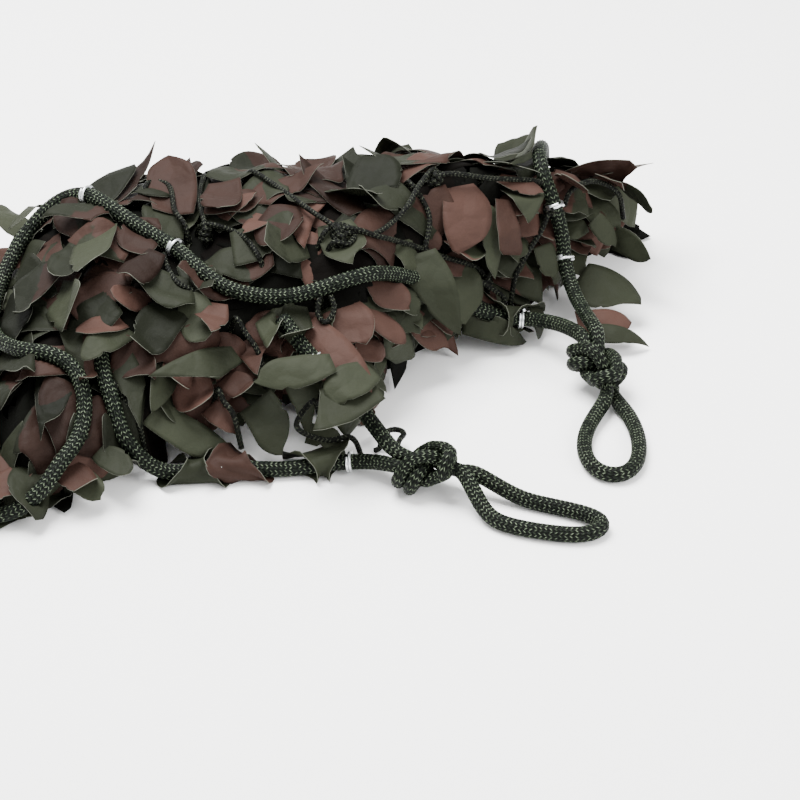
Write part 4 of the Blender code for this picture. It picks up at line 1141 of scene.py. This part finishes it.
def more_leaves():
    """Leaves for the rest of the heap, pointing outwards and down near its edges."""
    chance = np.random.default_rng(7)
    first, last = SECTIONS[0][0], SECTIONS[-1][0]
    taken = [row[:2] for row in LEAVES]
    found = []
    while len(found) < MORE_LEAVES:
        x = chance.uniform(first + 4, last - 4)
        front, back, crest, _ = section_at(x)
        y = chance.uniform(front + 6, back + 2)
        nearest = min(math.dist((x, y), other) for other in taken)
        if nearest < MORE_APART:
            continue
        taken.append((x, y))
        outwards = math.degrees(math.atan2(y - crest, x + 20))
        near_edge = min(y - front, back - y, x - first, last - x) < NEAR_EDGE
        spread = EDGE_SPREAD if near_edge else INNER_SPREAD
        found.append((
            x,
            y,
            outwards + chance.uniform(-spread, spread),
            chance.uniform(*MORE_LENGTH),
            chance.uniform(*MORE_WIDTH),
            chance.uniform(*(EDGE_RISE if near_edge else INNER_RISE)),
        ))
    return found


def random_cut(chance, kind=None):
    """How a leaf is cut and how it has been creased. Pairs hold its left and its right side."""
    neck, widest, power, blunt, spread = CUTS[kind or chance.choice(list("tffrrsp"))]
    calm = 0.6 if kind else 1.0
    start = calm * chance.uniform(0.1, 0.5)
    return {
        "neck": neck + spread * chance.uniform(-1, 1.3, 2),
        "widest": widest + chance.uniform(-0.1, 0.1, 2),
        "bulge": chance.uniform(0.75, 1.25, 2),
        "power": power * chance.uniform(0.75, 1.35, 2),
        "blunt": blunt * chance.uniform(0.7, 1.2),
        "slant": chance.uniform(-0.6, 0.6),
        "turn": chance.uniform(-0.9, 0.9),
        "start": start,
        "curl": -2 * start + calm * chance.uniform(-0.6, 0.7),
        "crease": calm * chance.choice((0, 1, 1)) * chance.uniform(-1.3, 1.3),
        "crease_at": chance.uniform(0.35, 0.75),
        "wave": chance.uniform(0.02, 0.1),
        "phase": chance.uniform(0, 6.3),
        "cup": calm * chance.uniform(-0.12, 0.12),
        "ruffle": chance.uniform(0.0, 0.09),
        "nick": (chance.integers(4, STATIONS - 3), chance.choice((0, -1)), chance.uniform(0, 2.2)),
    }


def flat_leaf(length, width, sweep, cut):
    """A leaf's cut shape laid flat: places along it and to its left, and the grid they make."""
    t, s = np.meshgrid(np.linspace(0, 1, STATIONS), np.linspace(-1, 1, ACROSS), indexing="ij")
    half = np.empty_like(t)
    for neck, widest, bulge, power, on_side in zip(
            cut["neck"], cut["widest"], cut["bulge"], cut["power"], (s >= 0, s < 0)):
        grow = neck + (1 - neck) * np.sin(np.minimum(1, t / widest) * math.pi / 2)
        fall = np.cos(np.clip((t - widest) / (1 - widest), 0, 1) * math.pi / 2) ** power
        profile = np.where(t < widest, grow, cut["blunt"] + (1 - cut["blunt"]) * fall)
        half = np.where(on_side, profile * bulge * width / 2, half)
    station, edge, depth = cut["nick"]
    half[station, edge] -= depth
    reach = t * (1 - cut["slant"] * cut["blunt"] * s * t ** 2)
    along = length * reach
    lateral = s * half + sweep * length * reach ** 2
    ruffle = cut["ruffle"] * half * s ** 2 * np.sin(11 * t + cut["phase"] + 2 * s)
    cupped = cut["cup"] * half * (s ** 2 - 0.3) * np.minimum(1, 2.5 * t) + ruffle * t
    return t, along, lateral, cupped


def leaf_points(root, ahead, side, up, length, width, roll, sweep, cut):
    """A leaf's grid from root to tip: its cut shape laid flat, then rolled about one line."""
    t, along, lateral, cupped = flat_leaf(length, width, sweep, cut)
    cosine, sine = math.cos(cut["turn"]), math.sin(cut["turn"])
    across = along * cosine + lateral * sine
    beside = lateral * cosine - along * sine
    places = np.linspace(across.min() - 0.1, across.max() + 0.1, 90)
    share = places / length
    fold = np.clip((share - cut["crease_at"]) / FOLD_WIDTH + 0.5, 0, 1)
    angle = (cut["start"] + cut["curl"] * share + cut["crease"] * fold * fold * (3 - 2 * fold)
             + cut["wave"] * np.sin(9 * share + cut["phase"]))
    spacing = places[1] - places[0]
    ran = np.cumsum(np.cos(angle)) * spacing
    rose = np.cumsum(np.sin(angle)) * spacing
    ran = np.interp(across, places, ran - np.interp(0, places, ran))
    rose = np.interp(across, places, rose - np.interp(0, places, rose)) + cupped
    forward = ran * cosine - beside * sine
    sideways = ran * sine + beside * cosine
    twist = (roll * t)[..., None]
    turned_side = side * np.cos(twist) + up * np.sin(twist)
    turned_up = up * np.cos(twist) - side * np.sin(twist)
    return (root + ahead * forward[..., None] + turned_side * sideways[..., None]
            + turned_up * rose[..., None])


def surface(x, y):
    """The height of the heap, and of cloth that hangs over its edge."""
    front, back, _, _ = section_at(x)
    beyond = np.maximum.reduce([
        front + pulled_up(x) - y, y - back, SECTIONS[0][0] - x, x - SECTIONS[-1][0],
        np.zeros_like(x + y),
    ])
    return np.maximum(height(x, y) - hollow(x, y) - EDGE_FALL * beyond, LOWEST)


def draped_leaf(x, y, heading, length, width, sweep, cut, above, curls):
    """A leaf that lies on the heap, and where it curls, lifts off it towards its tip."""
    t, along, lateral, cupped = flat_leaf(length, width, sweep, cut)
    turn = math.radians(heading)
    ahead, left = (math.cos(turn), math.sin(turn)), (-math.sin(turn), math.cos(turn))
    spans = []
    for way, span in ((ahead, along), (left, lateral)):
        slope = (surface(x + SLOPE_REACH * way[0], y + SLOPE_REACH * way[1])
                 - surface(x - SLOPE_REACH * way[0], y - SLOPE_REACH * way[1])
                 ) / (2 * SLOPE_REACH)
        spans.append(span / math.hypot(1, slope))
    across = x + spans[0] * ahead[0] + spans[1] * left[0]
    deep = y + spans[0] * ahead[1] + spans[1] * left[1]
    share = along / length
    curled = curls * length * (0.3 * abs(cut["curl"]) * share ** 2.2 * (cut["crease"] != 0)
                               + 0.06 * np.sin(7 * share + cut["phase"]) * share)
    z = surface(across, deep) + above + np.maximum(curled + cupped, -above)
    return np.stack([across, deep, np.maximum(z, LOWEST)], axis=-1)


def brown_patch(grid_points, tone, chance):
    """How far inside a brown patch each point of a leaf lies."""
    if tone == "m":
        across = unit(chance.normal(size=3))
        middle = grid_points.reshape(-1, 3).mean(axis=0)
        return (grid_points - middle) @ across + chance.uniform(-4, 4)
    return np.full(grid_points.shape[:2], PRINT_DEEP if tone == "b" else -PRINT_DEEP)


def tree_of(points):
    quads = [(i * ACROSS + j, i * ACROSS + j + 1, (i + 1) * ACROSS + j + 1, (i + 1) * ACROSS + j)
             for i in range(1, STATIONS - 1) for j in range(ACROSS - 1)]
    return BVHTree.FromPolygons(points.reshape(-1, 3).tolist(), quads)


def watched_from(point):
    """The way from an open stretch to someone who looks at it from its side of the heap."""
    side = 1 if point[1] > section_at(point[0])[2] + WATCHED_BACK else -1
    return np.array([0, side * math.cos(WATCHED), math.sin(WATCHED)])


open_points = []
for node, first_share, last_share in OPEN_STRETCHES:
    whole, _, first, last = rope_lines[node]
    line = whole[round(first + first_share * (last - first)):
                 round(first + last_share * (last - first))]
    for point in line[::4]:
        open_points.append((point, watched_from(point), ROPE_THICK / 2))
for line in cord_lines:
    for point in line[::2]:
        open_points.append((point, watched_from(point), CORD_THICK / 2))
open_places = np.array([point for point, *_ in open_points])


def faults(points, placed, own_place=False):
    """How badly a leaf lies: through other leaves, rope or cord, over an open stretch, too far.

    A leaf with its own place may be seen below the cloth's edge.
    """
    tree = tree_of(points)
    low, high = points.min(axis=(0, 1)), points.max(axis=(0, 1))
    seen = points[..., 1] * math.sin(WATCHED) + points[..., 2] * math.cos(WATCHED)
    too_low = (seen < np.interp(points[..., 0], *np.transpose(SEEN_EDGE))).sum()
    found = 0 if own_place else TOO_LOW * max(0, too_low - MAY_BE_LOW)
    for other_low, other_high, other in placed:
        if (low < other_high).all() and (other_low < high).all():
            found += len(tree.overlap(other))
    for point in points[2::3, ::2].reshape(-1, 3):
        found += HITS * (rope_tree.find(point)[2] < ROPE_THICK / 2 - 0.5)
        found += HITS * (cord_tree.find(point)[2] < CORD_THICK / 2)
    below = ((open_places[:, 0] > low[0]) & (open_places[:, 0] < high[0])
             & (open_places[:, 2] < high[2]))
    for index in np.flatnonzero(below):
        point, way, radius = open_points[index]
        if tree.ray_cast(point + way * (radius + 0.5), way, 250)[0] is not None:
            found += {ROPE_THICK / 2: COVERS_ROPE, CORD_THICK / 2: COVERS_CORD,
                      LEAF_POINT: COVERS_LEAF}[radius]
    return found + TOO_FAR * (high[2] > HIGHEST) + TOO_FAR * (high[0] > FURTHEST_RIGHT)


def set_down(root, normal, heading, rise, length, width, roll, sweep, cut):
    """One leaf at its place. Its rise counts from level, and its face from the cloth's slope."""
    turn, lift = math.radians(heading), math.radians(rise)
    ahead = np.array([math.cos(turn) * math.cos(lift), math.sin(turn) * math.cos(lift),
                      math.sin(lift)])
    side = unit(np.cross(normal, ahead))
    points = leaf_points(root, ahead, side, np.cross(ahead, side), length, width, roll, sweep, cut)
    points[..., 2] = np.maximum(points[..., 2], LOWEST)
    return points


chance = np.random.default_rng(23)
placed = []
batches = {"leaves_left": [], "leaves_middle": [], "leaves_right": [], "leaves_behind": [],
           "leaves_under": []}


def root_at(x, y):
    normal = normal_at(x, y)
    return np.array([x, y, height(x, y) - hollow(x, y)]) + normal * ROOT_CLEAR, normal


def clearest(attempts, lay, own_place=False):
    """How faulty the best of several leaves is, and its points. Lay makes one, and its handicap."""
    best = None
    for attempt in range(attempts):
        points, handicap = lay(attempt)
        found = faults(points, placed, own_place) + handicap
        if best is None or found < best[0]:
            best = (found, points)
    return best


def keep_leaf(points, tone, under=False, deep=False, over=False):
    """Adds a leaf to its piece, pressed under the rope that it meets unless it lies over it."""
    points = pressed(points.reshape(-1, 3), ROPE_THICK / 2 + LEAF_CLEAR, not over)
    points = points.reshape(STATIONS, ACROSS, 3)
    points[..., 2] = np.maximum(points[..., 2], LOWEST)
    placed.append((points.min(axis=(0, 1)), points.max(axis=(0, 1)), tree_of(points)))
    x, y, _ = points[0].mean(axis=0)
    name = ("leaves_under" if under else
            "leaves_behind" if y > section_at(x)[2] + BEHIND_CREST else
            "leaves_left" if x < LEFT_PIECE else
            "leaves_middle" if x < MIDDLE_PIECE else "leaves_right")
    # A deep leaf is given a darker tone: painted shade.
    shade = chance.uniform(*(DEEP_PAINTED_SHADE if deep else LEAF_SHADE))
    batches[name].append((points, brown_patch(points, tone, chance), shade))


def keep_in_view(points):
    """Later leaves don't cover this one."""
    for point in points[4::4, 2::2].reshape(-1, 3):
        open_points.append((point, watched_from(point), LEAF_POINT))


# First the leaves of the tables, and more like them for the rest of the heap.
roll_chance = np.random.default_rng(11)
main_rows = [*LEAVES, *((*row, None, None) for row in more_leaves())]
for x, y, heading, length, width, rise, tone, kind in main_rows:
    roll = math.radians(roll_chance.uniform(-LEAF_ROLL, LEAF_ROLL))
    sweep = LEAF_SWEEP * roll_chance.uniform(-1, 1)
    root, normal = root_at(x, y)

    def laid(attempt):
        lower = attempt // LOWER_AFTER
        return set_down(root - (0, 0, LOWER[0] * lower), normal, heading,
                        rise - LOWER[1] * lower, length * (1 - LOWER[2] * lower), width * WIDER,
                        roll, sweep, random_cut(chance, kind)), HANDICAP * lower

    found, points = clearest(ROW_ATTEMPTS, laid, bool(kind))
    if kind or found < ROW_WORST:
        keep_leaf(points, tone or chance.choice(TONES))
    if kind:
        keep_in_view(points)
for x, y, z, heading, length, width, rise, tone, kind in OVER_ROPE:
    _, points = clearest(OVER_ATTEMPTS, lambda attempt: (set_down(
        np.array([x, y, z]), np.array(OVER_FACE), heading, rise, length,
        width * WIDER_OVER, 0, LEAF_SWEEP * chance.uniform(-1, 1), random_cut(chance, kind)), 0),
        True)
    keep_leaf(points, tone, over=True)
    keep_in_view(points)
open_places = np.array([point for point, *_ in open_points])

# The edge all round, as place, the way out from the heap, and the height of the cloth there.
first, last = SECTIONS[0][0], SECTIONS[-1][0]
rim = [(x, section_at(x)[1] + 2, 90, EDGE_HEIGHT) for x in np.arange(first, last, EDGE_APART)]
edge = np.array([(x, section_at(x)[0] + pulled_up(x) + 3, 0) for x in np.arange(first, last)])
edge = resample(edge, round(np.linalg.norm(np.diff(edge, axis=0), axis=1).sum() / EDGE_APART))
for (x, y, _), (after_x, after_y, _) in zip(edge, edge[1:]):
    way = math.degrees(math.atan2(after_y - y, after_x - x)) - 90
    rim.append((x, y, way, max(EDGE_HEIGHT, height(x, y) - 6)))
for x, way in ((first + 1, 180), (last - 1, 0)):
    front, back, _, _ = section_at(x)
    for y in np.arange(front + pulled_up(x) + 6, back, EDGE_APART):
        rim.append((x, y, way, height(x, y)))
for x, y, way, top in rim:
    outwards = math.radians(way)
    for tier in range(max(1, round(top / EDGE_TIER))):
        z = min(top, 5 + EDGE_TIER * (tier + chance.uniform(0, 0.6)))
        found, points = clearest(HANG_ATTEMPTS, lambda attempt: (set_down(
            np.array([x + chance.uniform(-EDGE_LOOSE, EDGE_LOOSE),
                      y + chance.uniform(-EDGE_LOOSE, EDGE_LOOSE), z]),
            np.array([math.cos(outwards), math.sin(outwards), 0.7]),
            way + chance.uniform(-HANG_SPREAD, HANG_SPREAD), chance.uniform(*HANG_RISE),
            chance.uniform(*EDGE_LENGTH), chance.uniform(*EDGE_WIDTH),
            math.radians(chance.uniform(-HANG_ROLL, HANG_ROLL)), LEAF_SWEEP * chance.uniform(-1, 1),
            random_cut(chance)), 0))
        if found < HANG_WORST:
            keep_leaf(points, chance.choice(TONES))

# Leaves that lie on the heap: first a layer of large ones close to the cloth, then smaller ones
# over it. Each is laid several ways, and the clearest one is kept.
# Leaves of both layers count as deep and get the darker tones of painted shade.
for apart, lengths, widths, heights, worst, attempts, inset, under in LAYERS:
    taken = []
    for _ in range(TRIED):
        x = chance.uniform(first + 2, last - 1)
        front, back, _, _ = section_at(x)
        nearest = front + pulled_up(x) + inset
        y = chance.uniform(nearest, max(nearest, back + 5 - inset))
        if any(math.dist((x, y), other) < apart for other in taken):
            continue
        taken.append((x, y))
        normal = normal_at(x, y)
        downhill = math.degrees(math.atan2(normal[1], normal[0]))
        spread = STEEP_SPREAD if normal[2] < STEEP else 180
        found, points = clearest(attempts, lambda attempt: (draped_leaf(
            x, y, downhill + chance.uniform(-spread, spread), chance.uniform(*lengths),
            chance.uniform(*widths), LEAF_SWEEP * chance.uniform(-1, 1), random_cut(chance),
            chance.uniform(*heights), not under), 0))
        if found < worst:
            keep_leaf(points, chance.choice(TONES), under, True)

leaf_quads = np.array([
    (i * ACROSS + j, i * ACROSS + j + 1, (i + 1) * ACROSS + j + 1, (i + 1) * ACROSS + j)
    for i in range(STATIONS - 1) for j in range(ACROSS - 1)
])
for name, batch in batches.items():
    points = np.concatenate([grid_points.reshape(-1, 3) for grid_points, *_ in batch])
    points[:, 1] -= 0.5 * np.maximum(points[:, 1] - DRAWN_IN, 0)
    brown = np.concatenate([patch.ravel() for _, patch, _ in batch])
    shade = np.repeat([tone for *_, tone in batch], STATIONS * ACROSS)
    quads = (leaf_quads + np.arange(len(batch))[:, None, None] * STATIONS * ACROSS).reshape(-1, 4)
    # The lower layer of leaves takes the near-black cloth: painted shade.
    leaves = cloth_piece(name, points, quads.tolist(), brown, shade, LEAF_THICK,
                         [shaded_cloth] if name == "leaves_under" else [coated_cloth, cut_edge])
    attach(leaves, "root")
    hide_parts("garnish")

# Tongues of cloth wrapped round the border rope under the rings: rope, from and to along X, tone.
WRAPS = (
    ("border_rope_front", -91, -67, "o"),
    ("border_rope_front", -65, -47, "b"),
    ("border_rope_front", -28, -7, "o"),
    ("border_rope_top", 70, 90, "o"),
)
WRAP_ROUND = 2.7  # radians to each side of the top
WRAP_SPIRAL = 1.6  # how far a tongue winds round the rope from end to end, at most
WRAP_SKEW = 10  # how far its ends run along the rope on one side
WRAP_FLARE = 2.5  # how far its ends stand off the rope, and its folds and its free side
WRAP_FOLDS = 1.5
WRAP_FREE = 6
WRAP_CLEAR = 0.8  # from the rope's surface
wrap_points, wrap_quads, wrap_brown, wrap_shade = [], [], [], []
for rope, first_x, last_x, tone in WRAPS:
    whole, _, first, last = rope_lines[rope]
    line = whole[first:last + 1]
    line = resample(line[(line[:, 0] >= first_x) & (line[:, 0] <= last_x)], STATIONS)
    turns = np.linspace(-WRAP_ROUND, WRAP_ROUND, ACROSS * 2)
    loose = chance.uniform(0.8, 1.5)
    start, end = chance.choice((-1, 1), 2) * chance.uniform(0.4, 1.0, 2)
    spiral = chance.uniform(-WRAP_SPIRAL, WRAP_SPIRAL)
    base = sum(len(grid_points) for grid_points in wrap_points)
    grid_points = np.empty((STATIONS, len(turns), 3))
    for i, middle in enumerate(line):
        forward = unit(line[min(i + 1, STATIONS - 1)] - line[max(i - 1, 0)])
        level = unit(np.cross(forward, (0, 0, 1)))
        upright = np.cross(level, forward)
        share = i / (STATIONS - 1)
        skew = WRAP_SKEW * (start * (1 - share) + end * share)
        flare = WRAP_FLARE * loose * abs(2 * share - 1) ** 4
        for j, turned in enumerate(turns):
            angle = turned + spiral * (share - 0.5) - 0.9
            folds = abs(math.sin(1.5 * turned + 5 * spiral * share))
            reach = (ROPE_THICK / 2 + WRAP_CLEAR + flare * (1 + 0.6 * math.sin(4 * turned))
                     + WRAP_FOLDS * loose * folds
                     + WRAP_FREE * max(0, turned - 1.5) ** 2 * loose)
            grid_points[i, j] = (middle + forward * skew * math.sin(turned + start)
                                 + reach * (math.cos(angle) * upright + math.sin(angle) * level))
    grid_points[..., 2] = np.maximum(grid_points[..., 2], LOWEST)
    wide = len(turns)
    wrap_quads += [
        (base + i * wide + j, base + i * wide + j + 1, base + (i + 1) * wide + j + 1,
         base + (i + 1) * wide + j)
        for i in range(STATIONS - 1) for j in range(wide - 1)
    ]
    wrap_points.append(grid_points.reshape(-1, 3))
    wrap_brown += [PRINT_DEEP if tone == "b" else -PRINT_DEEP] * grid_points[..., 0].size
    wrap_shade += [chance.uniform(0.2, 0.8)] * grid_points[..., 0].size
wraps = cloth_piece("cloth_wraps", np.concatenate(wrap_points), wrap_quads, wrap_brown,
                    wrap_shade, LEAF_THICK, [coated_cloth, cut_edge])
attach(wraps, "root")
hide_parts("garnish")

# ---------------------------------------------------------------- floor, light and camera
# A plain pale paper floor under soft studio light: an even white surround, a large soft box above
# the heap and a weaker one from the right. The camera looks down on the side with the loops.

FLOOR_SIZE = 6.0  # metres
FLOOR_DROP = 0.2 * MM  # below the lowest cloth, so that nothing shimmers on it
bpy.ops.mesh.primitive_plane_add(size=FLOOR_SIZE, location=(0, 0, -FLOOR_DROP))
floor = bpy.context.object
floor.name = "floor"
paper, paper_tree, paper_shader = new_material("white_paper")
plug(paper_tree, paper_shader, {"Base Color": linear("#fbfbfa"), "Roughness": 0.9})
floor.data.materials.append(paper)

sky = bpy.data.worlds.new("studio")
scene.world = sky
sky.use_nodes = True
plug(sky.node_tree, sky.node_tree.nodes["Background"], {
    "Color": linear("#ffffff"), "Strength": 1.55,
})

LIGHTS = (  # name, place in metres, size in metres, power in watts
    ("softbox_above", (-0.3, 0.25, 1.3), 0.9, 78.0),
    ("softbox_right", (1.1, -0.7, 0.9), 0.8, 22.0),
)
LIT = Vector((0, 0, 0.03))  # what both of them point at
for name, place, size, power in LIGHTS:
    lamp = bpy.data.lights.new(name, "AREA")
    lamp.size = size
    lamp.energy = power
    holder = bpy.data.objects.new(name, lamp)
    holder.location = place
    holder.rotation_euler = (LIT - Vector(place)).to_track_quat("-Z", "Y").to_euler()
    scene.collection.objects.link(holder)

AIM = (22, 58, 0)  # what the camera looks at, in the tables' millimetres
CAMERA_AWAY = 1400.0
CAMERA_RISE = 33.0  # degrees above the floor
SENSOR, LENS = 36, 122
camera = bpy.data.objects.new("camera", bpy.data.cameras.new("camera"))
camera.data.sensor_width = SENSOR
camera.data.lens = LENS
camera.data.clip_end = 20
rise = math.radians(CAMERA_RISE)
back = Vector((0, -math.cos(rise), math.sin(rise)))
camera.location = Vector(world(AIM)) + back * CAMERA_AWAY * MM
camera.rotation_euler = (-back).to_track_quat("-Z", "Y").to_euler()
scene.collection.objects.link(camera)
scene.camera = camera
